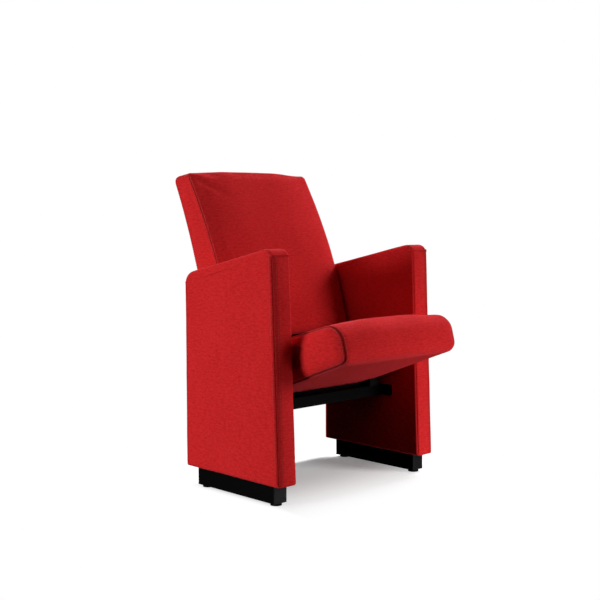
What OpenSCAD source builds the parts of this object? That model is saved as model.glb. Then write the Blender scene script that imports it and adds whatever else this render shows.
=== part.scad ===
// Conference armchair: two upholstered side panels on black plinths, a cross beam between them,
// a fixed padded back and a padded seat that tips up on two stub pins.
// Lengths are in millimetres. +Z is up, the front faces -Y and the origin is on the floor,
// under the middle of the chair. Outlines seen from the side are [forward, up] pairs, where
// forward is counted from the rear edge of the side panels.

/* [Side panels] */
// Overall width over both side panels
overall_width = 609; // [570:1:680]
// Thickness of a side panel over the crown of its faces
side_thickness = 67; // [60:1:76]
// Depth of a side panel at its foot
side_depth = 379; // [355:1:410]
// How far the front edge has leaned back where it meets the arm
side_front_setback = 24; // [0:1:36]
// Height of the arm at its rear end
arm_rear_height = 587; // [575:1:625]
// Rise of the arm towards the front, in degrees
arm_slope = 12.5; // [4:0.1:15]
// Radius of the arm's front corner, seen from the side
arm_front_radius = 28; // [20:1:44]
// Radius of the arm's rear corner, seen from the side
arm_rear_radius = 41; // [24:1:52]
// Radius of the panel's bottom corners, seen from the side
side_foot_radius = 8; // [4:1:14]
// Soft rounding of the panel's long edges
side_edge = 8.5; // [6:0.5:12]
// Crown of the panel's two faces
side_crown = 0.8; // [0.5:0.1:3]

/* [Plinths and glides] */
// Width of a plinth
plinth_width = 42; // [36:1:48]
// Height of a plinth
plinth_height = 47; // [38:1:60]
// Distance from the panel's rear edge to the plinth
plinth_rear_setback = 40; // [20:1:60]
// Distance from the panel's front edge to the plinth
plinth_front_setback = 29; // [16:1:50]
// Wall of the plinth tube
plinth_wall = 2.5; // [2:0.1:4]
// Thickness of the plinth's end caps
plinth_cap = 3; // [2:0.5:5]
// Radius of a floor glide
glide_radius = 15; // [10:0.5:18]
// Thickness of a floor glide under the plinth
glide_thickness = 7; // [4:0.5:9]
// Distance from a glide's centre to the end of the plinth
glide_inset = 17; // [16:1:60]

/* [Cross beam] */
// Depth of the beam tube, front to back
beam_depth = 50; // [40:1:60]
// Height of the beam tube
beam_height = 30; // [28:1:34]
// Distance from the seat's pivot forward to the beam's centre line
beam_ahead = 45; // [35:1:55]
// Distance from the seat's pivot down to the beam's upper face
beam_drop = 64; // [64:1:74]
// Wall of the beam tube
beam_wall = 2.5; // [2:0.1:4]
// Thickness of the beam's end flanges
beam_flange = 5; // [3:0.5:6]

/* [Seat] */
// Gap between the seat and each side panel
seat_gap = 7.5; // [7:0.5:14]
// How far the seat's nose reaches in front of the panel's rear edge
seat_reach = 535; // [500:1:570]
// Distance from the panel's rear edge to the seat's pivot
pivot_forward = 180; // [172:1:186]
// Height of the seat's pivot
pivot_height = 314; // [312:1:322]
// Radius of the seat's round rear end, about the pivot
seat_rear_radius = 62.9; // [57:0.1:63]
// Rise of the seat's top towards the front, in degrees
seat_top_slope = 17.3; // [15:0.1:19]
// Rise of the seat's underside towards the front, in degrees
seat_under_slope = 20.4; // [19:0.1:22]
// Backward lean of the seat's front face, in degrees
seat_nose_lean = 14; // [6:0.5:18]
// Upper radius of the seat's nose
seat_nose_top_radius = 49; // [36:1:52]
// Lower radius of the seat's nose
seat_nose_low_radius = 26; // [18:1:30]
// Rounding of the seat's front corners, seen from above
seat_corner = 31; // [22:1:36]
// Rounding of the seat's long edges
seat_edge = 31; // [22:1:34]
// Crown of the seat's top across the width
seat_crown = 6; // [2:0.5:12]
// Height that the seat's top bows up between its ends
seat_bow = 4.5; // [0:0.5:8]
// How far round the seat's edge its seam runs, in degrees
seat_seam_turn = 60; // [24:1:66]

/* [Backrest] */
// Gap between the backrest and each side panel
back_gap = 8.5; // [7:0.5:16]
// Height of the backrest's lower end
back_bottom_height = 400; // [394:1:414]
// Distance from the panel's rear edge to the backrest's front face at its lower end
back_bottom_forward = 120; // [104:1:122]
// Thickness of the backrest at its lower end
back_bottom_thickness = 124; // [114:1:130]
// Height of the backrest's upper end
back_top_height = 867; // [805:1:905]
// Distance from the panel's rear edge to the backrest's front face at its upper end
back_top_forward = -71; // [-90:1:-50]
// Thickness of the backrest at its upper end
back_top_thickness = 77.5; // [68:0.5:90]
// Drop of the backrest's top face from front to rear
back_top_drop = 13.5; // [0:0.5:24]
// Lean of the front face at its lower end, in degrees
back_lower_lean = 11; // [8:0.5:18]
// Lean of the front face at its upper end, in degrees
back_upper_lean = 32; // [26:0.5:34]
// Lean of the rear face at its lower end, in degrees
back_rear_lower_lean = 6; // [2:0.5:10]
// Lean of the rear face at its upper end, in degrees
back_rear_upper_lean = 25; // [22:0.5:28]
// Radius of the backrest's upper corners, seen from the side
back_top_radius = 18; // [10:1:22]
// Radius of the backrest's lower corners, seen from the side
back_bottom_radius = 24; // [14:1:30]
// Rounding of the backrest's long edges
back_edge = 14; // [10:1:20]
// Crown of the backrest's front face across the width
back_crown = 5; // [2:0.5:10]
// Crown of the backrest's top across the width
back_top_crown = 6; // [0:0.5:10]
// How far round the backrest's edge its seam runs, in degrees
back_seam_turn = 27; // [20:1:60]

/* [Upholstery and cores] */
// Thickness of the upholstery fabric with its lining
fabric = 1.5; // [1:0.1:2]
// Depth of the sewn seams below the fabric's face
seam_depth = 2.5; // [1:0.1:3]
// Thickness of the side panels' plywood boards
side_board = 8; // [6:0.5:9]
// Distance from a side panel's outline to its boards and frame
side_core_inset = 16; // [14:0.5:20]
// Wall of the side frames' square tube
side_tube_wall = 2; // [1.5:0.1:3]
// Thickness of the plywood boards in seat and back
shell_board = 12; // [9:0.5:14]
// Padding between those boards and the fabric
board_padding = 8; // [6:0.5:10]
// Width of the square tubes in the seat and back frames
rail = 25; // [20:0.5:26]

/* [Hinge and fasteners] */
// Radius of the stub pins that carry the seat
pin_radius = 8; // [6:0.1:9]
// Wall of the bushes on the pins
bush_wall = 3; // [2:0.1:3.5]
// Radial running clearance between pin and bush
running_clearance = 0.05; // [0.02:0.01:0.1]
// Radius of the large bolts of beam and backrest
bolt_radius = 5; // [4:0.1:6]
// Radius of the wood screws
screw_radius = 2.5; // [2:0.1:3]
// Radial clearance round bolts, screws and bosses
hole_clearance = 0.2; // [0.1:0.05:0.4]

/* [Hidden] */
$fn = 48;

fabric_red = "#b4232a";
paint_black = "#0c0c0d";
raw_steel = "#8d9094";
plywood = "#c9a46c";
foam_cream = "#e6dcc0";
rubber_black = "#1b1b1c";
nylon_white = "#d9d7cf";

// Shared small sizes
overrun = 1;
seat_clearance = 0.3;
arc_steps = 5;
curve_steps = 7;
glide_stem_radius = 3;
glide_stem_length = 9;
bolt_head_height_share = 0.7;
bolt_head_radius_share = 1.6;
screw_head_radius_share = 2;
screw_head_height_share = 1.2;
least_radius_share = 0.25;
line_step_share = 0.02;
seam_half_turn = 8;
before_seam_shares = [0.5, 1];
after_seam_shares = [1, 0.6, 0.3, 0];
foam_turns = [0, 30, 60];

// Side panel, counted from its middle plane
side_mid = (overall_width - side_thickness) / 2;
side_inner_face = overall_width / 2 - side_thickness;
side_foot_height = glide_thickness + plinth_height;
side_top_front = side_depth - side_front_setback;
side_foam = 5;
half_core = side_thickness / 2 - side_crown - fabric - side_foam;
half_tube = half_core - side_board;
tube = 2 * half_tube;
carrier_plate = 8;
carrier_margin = 32;
foot_pad_length = 34;
side_screw_shares = [0.12, 0.36, 0.6];

// Seat and back, half widths across
seat_half = side_inner_face - seat_gap;
back_half = side_inner_face - back_gap;

// The beam is placed from the seat's pivot
beam_forward = pivot_forward + beam_ahead;
beam_top = pivot_height - beam_drop;
beam_bottom = beam_top - beam_height;

// Vector and outline helpers
function unit(v) = v / norm(v);
function turned(angle) = [cos(angle), sin(angle)];
function cross2(a, b) = a[0] * b[1] - a[1] * b[0];
function flat(p) = [p[0], p[1]];
function meet(p, p_angle, q, q_angle) =
    p + turned(p_angle) * cross2(q - p, turned(q_angle)) / cross2(turned(p_angle), turned(q_angle));
function bezier(a, b, c, t) = (1 - t) * (1 - t) * a + 2 * t * (1 - t) * b + t * t * c;
function smooth_run(a, b, c) = [for (i = [1:curve_steps - 1]) bezier(a, b, c, i / curve_steps)];
function middle(points) = [for (p = points) 1] * points / len(points);

// Points of an arc that rounds the corner b between its neighbours a and c
function corner_arc(a, b, c, radius) =
    let (
        to_a = unit(a - b),
        to_c = unit(c - b),
        half = acos(to_a * to_c) / 2,
        centre = b + unit(to_a + to_c) * radius / sin(half),
        first = b + to_a * radius / tan(half) - centre,
        start = atan2(first[1], first[0]),
        sweep = 180 - 2 * half
    ) [for (i = [0:arc_steps]) centre + radius * turned(start + sweep * i / arc_steps)];

// An outline is a list of [forward, up, corner radius], counterclockwise with forward to the right
function rounded(corners) = [
    for (i = [0:len(corners) - 1])
        let (
            n = len(corners),
            a = flat(corners[(i + n - 1) % n]),
            b = flat(corners[i]),
            c = flat(corners[(i + 1) % n])
        ) each (corners[i][2] > 0 ? corner_arc(a, b, c, corners[i][2]) : [b])
];

// Outward direction at a corner, as long as moving both neighbouring edges out by one needs
function outward(corners, i) =
    let (
        n = len(corners),
        before = unit(flat(corners[i]) - flat(corners[(i + n - 1) % n])),
        after = unit(flat(corners[(i + 1) % n]) - flat(corners[i])),
        first = [before[1], -before[0]],
        second = [after[1], -after[0]]
    ) (first + second) / (1 + first * second);

// The outline drawn in by inset, by front where it faces forward, and raised by lift on its top
function drawn_in(corners, inset, front, lift) = [
    for (i = [0:len(corners) - 1])
        let (
            out = outward(corners, i),
            forward = out[0] * (out[0] > 0 ? front : inset),
            up = out[1] * (out[1] > 0 ? inset - lift : inset),
            radius = corners[i][2]
        ) [corners[i][0] - forward, corners[i][1] - up,
           radius > 0 ? max(radius - inset, radius * least_radius_share) : 0]
];

// A padded slab lies across the chair. Its stations run from one side to the other, each
// [across, inset, front inset, lift, share drawn towards the middle].
function ring(corners, station) =
    let (
        outline = rounded(drawn_in(corners, station[1], station[2], station[3])),
        centre = middle(outline)
    ) [for (p = outline) let (q = p + (centre - p) * station[4]) [station[0], -q[0], q[1]]];

function ring_faces(rings, n) = [
    for (j = [0:rings - 2], i = [0:n - 1])
        let (a = j * n + i, b = j * n + (i + 1) % n)
            each [[a, b, b + n], [a, b + n, a + n]]
];

module slab(corners, stations) {
    rings = [for (s = stations) ring(corners, s)];
    n = len(rings[0]);
    last = (len(rings) - 1) * n;
    ends = [middle(rings[0]), middle(rings[len(rings) - 1])];
    points = concat([for (r = rings) each r], ends);
    first_cap = [for (i = [0:n - 1]) [last + n, (i + 1) % n, i]];
    last_cap = [for (i = [0:n - 1]) [last + n + 1, last + i, last + (i + 1) % n]];
    polyhedron(points, concat(first_cap, ring_faces(len(rings), n), last_cap));
}

// Both sides of a slab from the stations of one: [in from the side, inset, front, lift, share]
function both_sides(half, side) = concat(
    [for (s = side) [s[0] - half, s[1], s[2], s[3], s[4]]],
    [for (i = [len(side) - 1:-1:0]) let (s = side[i]) [half - s[0], s[1], s[2], s[3], s[4]]]
);

// A station on a rolled edge, at the given turn between the side at 0 and the face at 90
function rolled(edge, front, turn, pull) = [
    edge * (1 - cos(turn)) + pull * cos(turn),
    edge * (1 - sin(turn)) + pull * sin(turn),
    front * (1 - sin(turn)) + pull * sin(turn), 0, 0
];

// The sewn edge that seat and back share: a crowned side piece, a rolled edge and the seam that
// pinches it. The roundings are edge, and front where it faces forward; the crown across the
// width is lift on top and swell in front.
function sewn_side(half, edge, front, lift, swell, seam) = concat(
    [
        [0, edge * 1.15, front * 1.15, 0, 0.5],
        [seam_depth * 0.3, edge, front, 0, 0]
    ],
    [for (turn = (seam - seam_half_turn) * before_seam_shares) rolled(edge, front, turn, 0)],
    [rolled(edge, front, seam, seam_depth)],
    [for (share = after_seam_shares)
        rolled(edge, front, 90 - (90 - seam - seam_half_turn) * share, 0)],
    [
        [edge * 1.6, 0, -swell * 0.1, lift * 0.1, 0],
        [half * 0.34, 0, -swell * 0.6, lift * 0.6, 0],
        [half * 0.66, 0, -swell, lift, 0]
    ]
);

// What the fabric of such a piece is pulled over: a plainer slab inside it
function foam_side(half, edge, front, lift, swell) = concat(
    [for (turn = foam_turns) rolled(edge, front, turn, fabric + seam_depth)],
    [
        [edge + fabric, fabric, fabric, 0, 0],
        [half * 0.5, fabric, fabric - swell * 0.7, lift * 0.7, 0]
    ]
);

// Bodies that run across the chair
module across(outline, from, to) {
    translate([from, 0, 0]) rotate([90, 0, 90]) linear_extrude(to - from)
        polygon([for (p = outline) [-p[0], p[1]]]);
}

module bar(radius, from, to, place) {
    translate([from, -place[0], place[1]]) rotate([0, 90, 0]) cylinder(r = radius, h = to - from);
}

module block(from, to) {
    translate([from[0], -to[1], from[2]])
        cube([to[0] - from[0], to[1] - from[1], to[2] - from[2]]);
}

// Both ways of a piece that the right side has
module left_of() {
    mirror([1, 0, 0]) children();
}

module both() {
    children();
    left_of() children();
}

// Puts what is counted from the panels' rear edge over the origin
module placed() {
    translate([0, depth_middle, 0]) children();
}

// Side panel outline
side_corners = [
    [0, side_foot_height, side_foot_radius],
    [side_depth, side_foot_height, side_foot_radius],
    [side_top_front, arm_rear_height + side_top_front * tan(arm_slope), arm_front_radius],
    [0, arm_rear_height, arm_rear_radius]
];
side_stations = [
    [0, side_edge * 4, side_edge * 4, 0, 0.15],
    [side_crown * 0.6, side_edge * 2.2, side_edge * 2.2, 0, 0],
    [side_crown, side_edge, side_edge, 0, 0],
    [side_crown + side_edge * 0.08, side_edge * 0.62, side_edge * 0.62, 0, 0],
    [side_crown + side_edge * 0.3, side_edge * 0.52, side_edge * 0.52, 0, 0],
    [side_crown + side_edge * 0.34, side_edge * 0.26, side_edge * 0.26, 0, 0],
    [side_crown + side_edge * 0.7, side_edge * 0.06, side_edge * 0.06, 0, 0],
    [side_crown + side_edge * 1.3, 0, 0, 0, 0]
];
side_foam_stations = [
    [side_crown + fabric, side_edge + fabric, side_edge + fabric, 0, 0],
    [side_crown + fabric + side_edge * 0.3, side_edge * 0.36 + fabric, side_edge * 0.36 + fabric, 0, 0],
    [side_crown + fabric + side_edge, fabric, fabric, 0, 0]
];

// Seat outline and its own frame along the underside
pivot = [pivot_forward, pivot_height];
seat_nose_low = meet(
    pivot + seat_rear_radius * turned(seat_under_slope - 90), seat_under_slope,
    [seat_reach, 0], 90);
seat_rear_top = pivot + seat_rear_radius * turned(seat_top_slope + 90);
seat_nose_top = meet(seat_rear_top, seat_top_slope, seat_nose_low, 90 + seat_nose_lean);
seat_top_knee = (seat_nose_top + seat_rear_top) / 2 + seat_bow * 2 * turned(seat_top_slope + 90);
seat_rear_steps = 8;
seat_rear_sweep = 180 + seat_under_slope - seat_top_slope;
seat_corners = concat(
    [for (i = [0:seat_rear_steps])
        let (p = pivot + seat_rear_radius
            * turned(seat_top_slope + 90 + seat_rear_sweep * i / seat_rear_steps))
            [p[0], p[1], 0]],
    [
        [seat_nose_low[0], seat_nose_low[1], seat_nose_low_radius],
        [seat_nose_top[0], seat_nose_top[1], seat_nose_top_radius]
    ],
    [for (p = smooth_run(seat_nose_top, seat_top_knee, seat_rear_top)) [p[0], p[1], 0]]
);
function seat_point(along, above) =
    pivot + along * turned(seat_under_slope) + above * turned(seat_under_slope + 90);
seat_length = norm(seat_nose_low - pivot);

// Backrest outline
back_low_front = [back_bottom_forward, back_bottom_height];
back_low_rear = [back_bottom_forward - back_bottom_thickness, back_bottom_height];
back_high_front = [back_top_forward, back_top_height];
back_high_rear = [back_top_forward - back_top_thickness, back_top_height - back_top_drop];
back_front_knee = meet(back_low_front, 90 + back_lower_lean, back_high_front, 90 + back_upper_lean);
back_rear_knee = meet(back_low_rear, 90 + back_rear_lower_lean, back_high_rear, 90 + back_rear_upper_lean);
back_corners = concat(
    [
        [back_low_rear[0], back_low_rear[1], back_bottom_radius],
        [back_low_front[0], back_low_front[1], back_bottom_radius]
    ],
    [for (p = smooth_run(back_low_front, back_front_knee, back_high_front)) [p[0], p[1], 0]],
    [
        [back_high_front[0], back_high_front[1], back_top_radius],
        [back_high_rear[0], back_high_rear[1], back_top_radius]
    ],
    [for (p = smooth_run(back_high_rear, back_rear_knee, back_low_rear)) [p[0], p[1], 0]]
);

// The chair's depth runs from the backrest's upper rear corner to the seat's nose
rear_end = min([for (p = rounded(back_corners)) p[0]]);
nose_end = max([for (p = rounded(seat_corners)) p[0]]);
depth_middle = (rear_end + nose_end) / 2;

// Places of the fasteners
back_bolt_forward = side_core_inset + tube * 0.62;
back_bolt_shares = [0.2, 0.62];
back_bolt_places = [
    for (share = back_bolt_shares)
        [back_bolt_forward, back_bottom_height + (arm_rear_height - back_bottom_height) * share]
];
beam_middle = [beam_forward, beam_bottom + beam_height / 2];
beam_bolt_spread = beam_depth / 2 + bolt_radius * 3.4;
beam_bolt_places = [
    beam_middle - [beam_bolt_spread, 0],
    beam_middle + [beam_bolt_spread, 0]
];
plinth_rear = plinth_rear_setback;
plinth_front = side_depth - plinth_front_setback;
foot_places = [plinth_rear + glide_inset * 2, plinth_front - glide_inset * 2];
boss_radius = bolt_radius * 2.4;
pin_boss_radius = pin_radius + bolt_radius;
core_face = side_mid - half_core;
carrier_face = side_mid - half_tube;
bolt_head_height = bolt_radius * 2 * bolt_head_height_share;
bolt_head_radius = bolt_radius * bolt_head_radius_share;
screw_head_radius = screw_radius * screw_head_radius_share;
screw_head_height = screw_radius * screw_head_height_share;

// Seat internals, in the seat's own frame
seat_board_low = -seat_rear_radius + board_padding;
seat_board_high = seat_board_low + shell_board;
seat_board_from = shell_board;
seat_board_to = seat_length - seat_nose_low_radius * 1.8;
seat_arm_thickness = 6;
seat_arm_outer = seat_half - fabric - seam_depth * 1.8 - seat_arm_thickness;
seat_arm_inner = seat_arm_outer - seat_arm_thickness;
seat_rail_shares = [0.3, 0.74];
seat_rail_places = seat_length * seat_rail_shares;
seat_screw_shares = [-0.7, 0, 0.7];
torsion_tube_radius = pin_radius + bush_wall + seat_arm_thickness;
bush_length = pin_radius * 2;
bush_flange = 2;
webbing_thickness = 2;
webbing_width_share = 0.75;
webbing_count = 3;
seat_board_half = seat_half - seat_edge * 1.6;

// Back internals
back_frame_half = back_half - fabric - seam_depth * 1.8 - seat_arm_thickness;
back_board_half = back_half - back_edge * 1.6;
back_rib_across = back_frame_half * 0.55;
back_rib_low_depth = 56;
back_rib_high_depth = 22;
back_screw_shares = [0.14, 0.48, 0.82];

module side_core(inset, from, to) {
    across(rounded(drawn_in(side_corners, side_core_inset + inset, side_core_inset + inset, 0)),
        side_mid + from, side_mid + to);
}

// What goes through the padding of the panel's inner face
module inner_face_bosses(grow, from, to) {
    bar(pin_boss_radius + grow, from, to, pivot);
    for (p = beam_bolt_places) bar(boss_radius + grow, from, to, p);
    for (p = back_bolt_places) bar(boss_radius + grow, from, to, p);
}

module foot_pads(grow, from, to) {
    for (u = foot_places)
        block([side_mid - half_tube - grow, u - foot_pad_length / 2 - grow, from],
            [side_mid + half_tube + grow, u + foot_pad_length / 2 + grow, to]);
}

module floor_glides() {
    color(rubber_black) placed() both()
        for (u = [plinth_rear + glide_inset, plinth_front - glide_inset])
            translate([side_mid, -u, 0]) {
                cylinder(r = glide_radius, h = glide_thickness);
                cylinder(r = glide_stem_radius, h = glide_thickness + glide_stem_length);
            }
}

module plinth() {
    color(paint_black) placed() difference() {
        block([side_mid - plinth_width / 2, plinth_rear + plinth_cap, glide_thickness],
            [side_mid + plinth_width / 2, plinth_front - plinth_cap, side_foot_height]);
        block([side_mid - plinth_width / 2 + plinth_wall, plinth_rear - overrun,
                glide_thickness + plinth_wall],
            [side_mid + plinth_width / 2 - plinth_wall, plinth_front + overrun,
                side_foot_height - plinth_wall]);
        for (u = [plinth_rear + glide_inset, plinth_front - glide_inset])
            translate([side_mid, -u, 0])
                cylinder(r = glide_stem_radius + hole_clearance, h = plinth_height / 2);
        for (u = foot_places)
            translate([side_mid, -u, side_foot_height - plinth_height / 2])
                cylinder(r = bolt_radius + hole_clearance, h = plinth_height);
    }
}

module plinth_left() {
    left_of() plinth();
}

module plinth_right() {
    plinth();
}

module plinth_end_cap() {
    block([side_mid - plinth_width / 2, 0, glide_thickness],
        [side_mid + plinth_width / 2, plinth_cap, side_foot_height]);
    block([side_mid - plinth_width / 2 + plinth_wall, 0, glide_thickness + plinth_wall],
        [side_mid + plinth_width / 2 - plinth_wall, plinth_cap * 3, side_foot_height - plinth_wall]);
}

module plinth_end_caps() {
    color(rubber_black) placed() both() {
        translate([0, -plinth_rear, 0]) plinth_end_cap();
        translate([0, -plinth_front, 0]) mirror([0, 1, 0]) plinth_end_cap();
    }
}

module plinth_bolts() {
    shank_top = side_foot_height + side_core_inset + side_tube_wall;
    head_top = side_foot_height - plinth_wall;
    color(raw_steel) placed() both()
        for (u = foot_places) translate([side_mid, -u, 0]) {
            translate([0, 0, head_top - bolt_head_height])
                cylinder(r = bolt_head_radius, h = bolt_head_height);
            translate([0, 0, head_top - bolt_head_height / 2])
                cylinder(r = bolt_radius, h = shank_top - head_top + bolt_head_height);
        }
}

module side_frame() {
    loop_in = side_core_inset + tube;
    carrier_low = beam_bottom - carrier_margin;
    carrier_high = pivot_height + carrier_margin;
    color(raw_steel) placed() difference() {
        union() {
            difference() {
                side_core(0, -half_tube, half_tube);
                side_core(tube, -half_tube - overrun, half_tube + overrun);
                difference() {
                    side_core(side_tube_wall, side_tube_wall - half_tube, half_tube - side_tube_wall);
                    side_core(tube - side_tube_wall, -half_tube, half_tube);
                }
            }
            block([carrier_face, loop_in, carrier_low],
                [carrier_face + carrier_plate, side_top_front - loop_in, carrier_high]);
            inner_face_bosses(0, side_inner_face, carrier_face + carrier_plate);
            foot_pads(-hole_clearance, side_foot_height, side_foot_height + side_core_inset);
        }
        bar(pin_radius, side_inner_face - overrun, side_mid + half_tube - side_tube_wall, pivot);
        for (p = concat(beam_bolt_places, back_bolt_places))
            bar(bolt_radius + hole_clearance, side_inner_face - overrun,
                side_mid + half_tube + overrun, p);
        for (u = foot_places) translate([side_mid, -u, side_foot_height - overrun])
            cylinder(r = bolt_radius + hole_clearance, h = side_core_inset + tube - side_tube_wall);
        for (p = side_screw_places)
            bar(screw_radius, side_mid - half_tube - overrun, side_mid + half_tube + overrun, p);
    }
}

// Screws of the side boards, along the frame's uprights and its top rail
side_screw_places = [
    for (t = side_screw_shares)
        each [
            [side_core_inset + half_tube, side_foot_height + t * (arm_rear_height - side_foot_height)],
            [side_depth - side_front_setback * t - side_core_inset - half_tube,
                side_foot_height + t * (arm_rear_height - side_foot_height)]
        ]
];

module side_frame_left() {
    left_of() side_frame();
}

module side_frame_right() {
    side_frame();
}

// Holes for the board's screws, with a counterbore in the given face
module screw_holes(face, inward) {
    for (p = side_screw_places) {
        bar(screw_radius + hole_clearance, side_mid - half_core - overrun,
            side_mid + half_core + overrun, p);
        ends = [face - inward * overrun, face + inward * screw_head_height];
        bar(screw_head_radius + hole_clearance, min(ends), max(ends), p);
    }
}

module outer_board() {
    color(plywood) placed() difference() {
        side_core(0, half_tube, half_core);
        screw_holes(side_mid + half_core, -1);
        for (p = back_bolt_places)
            bar(bolt_head_radius + hole_clearance, side_mid + half_tube - overrun,
                side_mid + half_core + overrun, p);
    }
}

module inner_board() {
    color(plywood) placed() difference() {
        side_core(0, -half_core, -half_tube);
        screw_holes(side_mid - half_core, 1);
        inner_face_bosses(hole_clearance, side_inner_face, carrier_face + overrun);
    }
}

module outer_board_left() {
    left_of() outer_board();
}

module outer_board_right() {
    outer_board();
}

module inner_board_left() {
    left_of() inner_board();
}

module inner_board_right() {
    inner_board();
}

module side_board_screws() {
    length = side_board + side_tube_wall * 2;
    color(raw_steel) placed() both()
        for (p = side_screw_places) {
            bar(screw_head_radius, side_mid + half_core - screw_head_height, side_mid + half_core, p);
            bar(screw_radius, side_mid + half_core - length, side_mid + half_core, p);
            bar(screw_head_radius, side_mid - half_core, side_mid - half_core + screw_head_height, p);
            bar(screw_radius, side_mid - half_core, side_mid - half_core + length, p);
        }
}

module side_form(side) {
    translate([side_mid, 0, 0]) slab(side_corners, both_sides(side_thickness / 2, side));
}

module side_padding() {
    color(foam_cream) placed() difference() {
        side_form(side_foam_stations);
        side_core(0, -half_core, half_core);
        inner_face_bosses(hole_clearance, side_inner_face - overrun, core_face + overrun);
        foot_pads(hole_clearance, 0, side_foot_height + side_core_inset + overrun);
    }
}

module side_cover() {
    color(fabric_red) placed() difference() {
        side_form(side_stations);
        side_form(side_foam_stations);
        inner_face_bosses(hole_clearance, side_inner_face - overrun, core_face);
        foot_pads(hole_clearance, 0, side_foot_height + side_core_inset);
    }
}

module side_padding_left() {
    left_of() side_padding();
}

module side_padding_right() {
    side_padding();
}

module side_cover_left() {
    left_of() side_cover();
}

module side_cover_right() {
    side_cover();
}

module cross_beam() {
    flange_half = beam_bolt_spread + boss_radius;
    flange_from = side_inner_face - beam_flange;
    color(paint_black) placed() difference() {
        union() {
            difference() {
                block([-flange_from, beam_forward - beam_depth / 2, beam_bottom],
                    [flange_from, beam_forward + beam_depth / 2, beam_bottom + beam_height]);
                block([-flange_from - overrun, beam_forward - beam_depth / 2 + beam_wall,
                        beam_bottom + beam_wall],
                    [flange_from + overrun, beam_forward + beam_depth / 2 - beam_wall,
                        beam_bottom + beam_height - beam_wall]);
            }
            both() block([flange_from, beam_forward - flange_half, beam_bottom],
                [side_inner_face, beam_forward + flange_half, beam_bottom + beam_height]);
        }
        both() for (p = beam_bolt_places)
            bar(bolt_radius + hole_clearance, flange_from - overrun, side_inner_face + overrun, p);
        both() translate([buffer_across, -buffer_forward, beam_bottom + beam_height / 2])
            cylinder(r = screw_radius, h = beam_height);
    }
}

module beam_bolts() {
    head = side_inner_face - beam_flange;
    color(paint_black) placed() both() for (p = beam_bolt_places) {
        bar(bolt_head_radius, head - bolt_head_height, head, p);
        bar(bolt_radius, head - bolt_head_height / 2, carrier_face + carrier_plate + bolt_radius, p);
    }
}

// Rubber stops on the beam that the seat's underside comes down on
buffer_width = 36;
buffer_length = 26;
buffer_across = seat_half - buffer_width;
buffer_forward = beam_forward + beam_depth / 2 - buffer_length / 2;
under_at_pivot = pivot_height - seat_rear_radius / cos(seat_under_slope);
function under_seat(forward) =
    under_at_pivot + (forward - pivot_forward) * tan(seat_under_slope) - seat_clearance;
buffer_outline = [
    [buffer_forward - buffer_length / 2, beam_top],
    [buffer_forward + buffer_length / 2, beam_top],
    [buffer_forward + buffer_length / 2, under_seat(buffer_forward + buffer_length / 2)],
    [buffer_forward - buffer_length / 2, under_seat(buffer_forward - buffer_length / 2)]
];
buffer_head_top = beam_top + (under_seat(buffer_forward) - beam_top) * 0.6;

module stop_buffers() {
    color(rubber_black) placed() both() difference() {
        across(buffer_outline, buffer_across - buffer_width / 2, buffer_across + buffer_width / 2);
        translate([buffer_across, -buffer_forward, beam_bottom])
            cylinder(r = screw_radius + hole_clearance, h = beam_height * 2);
        translate([buffer_across, -buffer_forward, buffer_head_top - screw_head_height])
            cylinder(r = screw_head_radius + hole_clearance, h = beam_height);
    }
}

module buffer_screws() {
    color(raw_steel) placed() both() translate([buffer_across, -buffer_forward, 0]) {
        translate([0, 0, buffer_head_top - screw_head_height])
            cylinder(r = screw_head_radius, h = screw_head_height);
        translate([0, 0, beam_top - beam_wall * 2])
            cylinder(r = screw_radius, h = buffer_head_top - beam_top + beam_wall * 2);
    }
}

module pivot_pin() {
    color(raw_steel) placed() {
        bar(pin_radius, seat_arm_outer - bush_length, carrier_face + carrier_plate, pivot);
        bar(pin_radius + bush_wall, carrier_face + carrier_plate,
            carrier_face + carrier_plate + bush_wall, pivot);
    }
}

module pivot_pin_left() {
    left_of() pivot_pin();
}

module pivot_pin_right() {
    pivot_pin();
}

module pivot_washers() {
    color(nylon_white) placed() both() difference() {
        bar(pin_boss_radius, seat_half + seat_clearance, side_inner_face, pivot);
        bar(pin_radius, seat_half, side_inner_face + overrun, pivot);
    }
}

module pivot_bush() {
    color(nylon_white) placed() difference() {
        union() {
            bar(pin_radius + bush_wall, seat_arm_outer - bush_length, seat_arm_outer, pivot);
            bar(pin_radius + bush_wall * 1.8, seat_arm_outer, seat_arm_outer + bush_flange, pivot);
        }
        bar(pin_radius + running_clearance, seat_arm_outer - bush_length - overrun,
            seat_arm_outer + bush_flange + overrun, pivot);
    }
}

module pivot_bush_left() {
    left_of() pivot_bush();
}

module pivot_bush_right() {
    pivot_bush();
}

// The seat frame's outer shape: a tube on the pivot line, two arms and two cross rails
module seat_arm() {
    across([
        seat_point(0, seat_board_high), seat_point(seat_rail_places[1] + rail / 2, seat_board_high),
        seat_point(seat_rail_places[1] + rail / 2, seat_board_high + rail),
        seat_point(0, torsion_tube_radius)
    ], seat_arm_inner, seat_arm_outer);
}

module seat_rails(grow) {
    for (s = seat_rail_places)
        across([
            seat_point(s - rail / 2 - grow, seat_board_high - grow),
            seat_point(s + rail / 2 + grow, seat_board_high - grow),
            seat_point(s + rail / 2 + grow, seat_board_high + rail + grow),
            seat_point(s - rail / 2 - grow, seat_board_high + rail + grow)
        ], -seat_arm_inner, seat_arm_inner);
}

module seat_frame_shape() {
    bar(torsion_tube_radius, -seat_arm_outer, seat_arm_outer, pivot);
    both() seat_arm();
    seat_rails(0);
}

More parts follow.
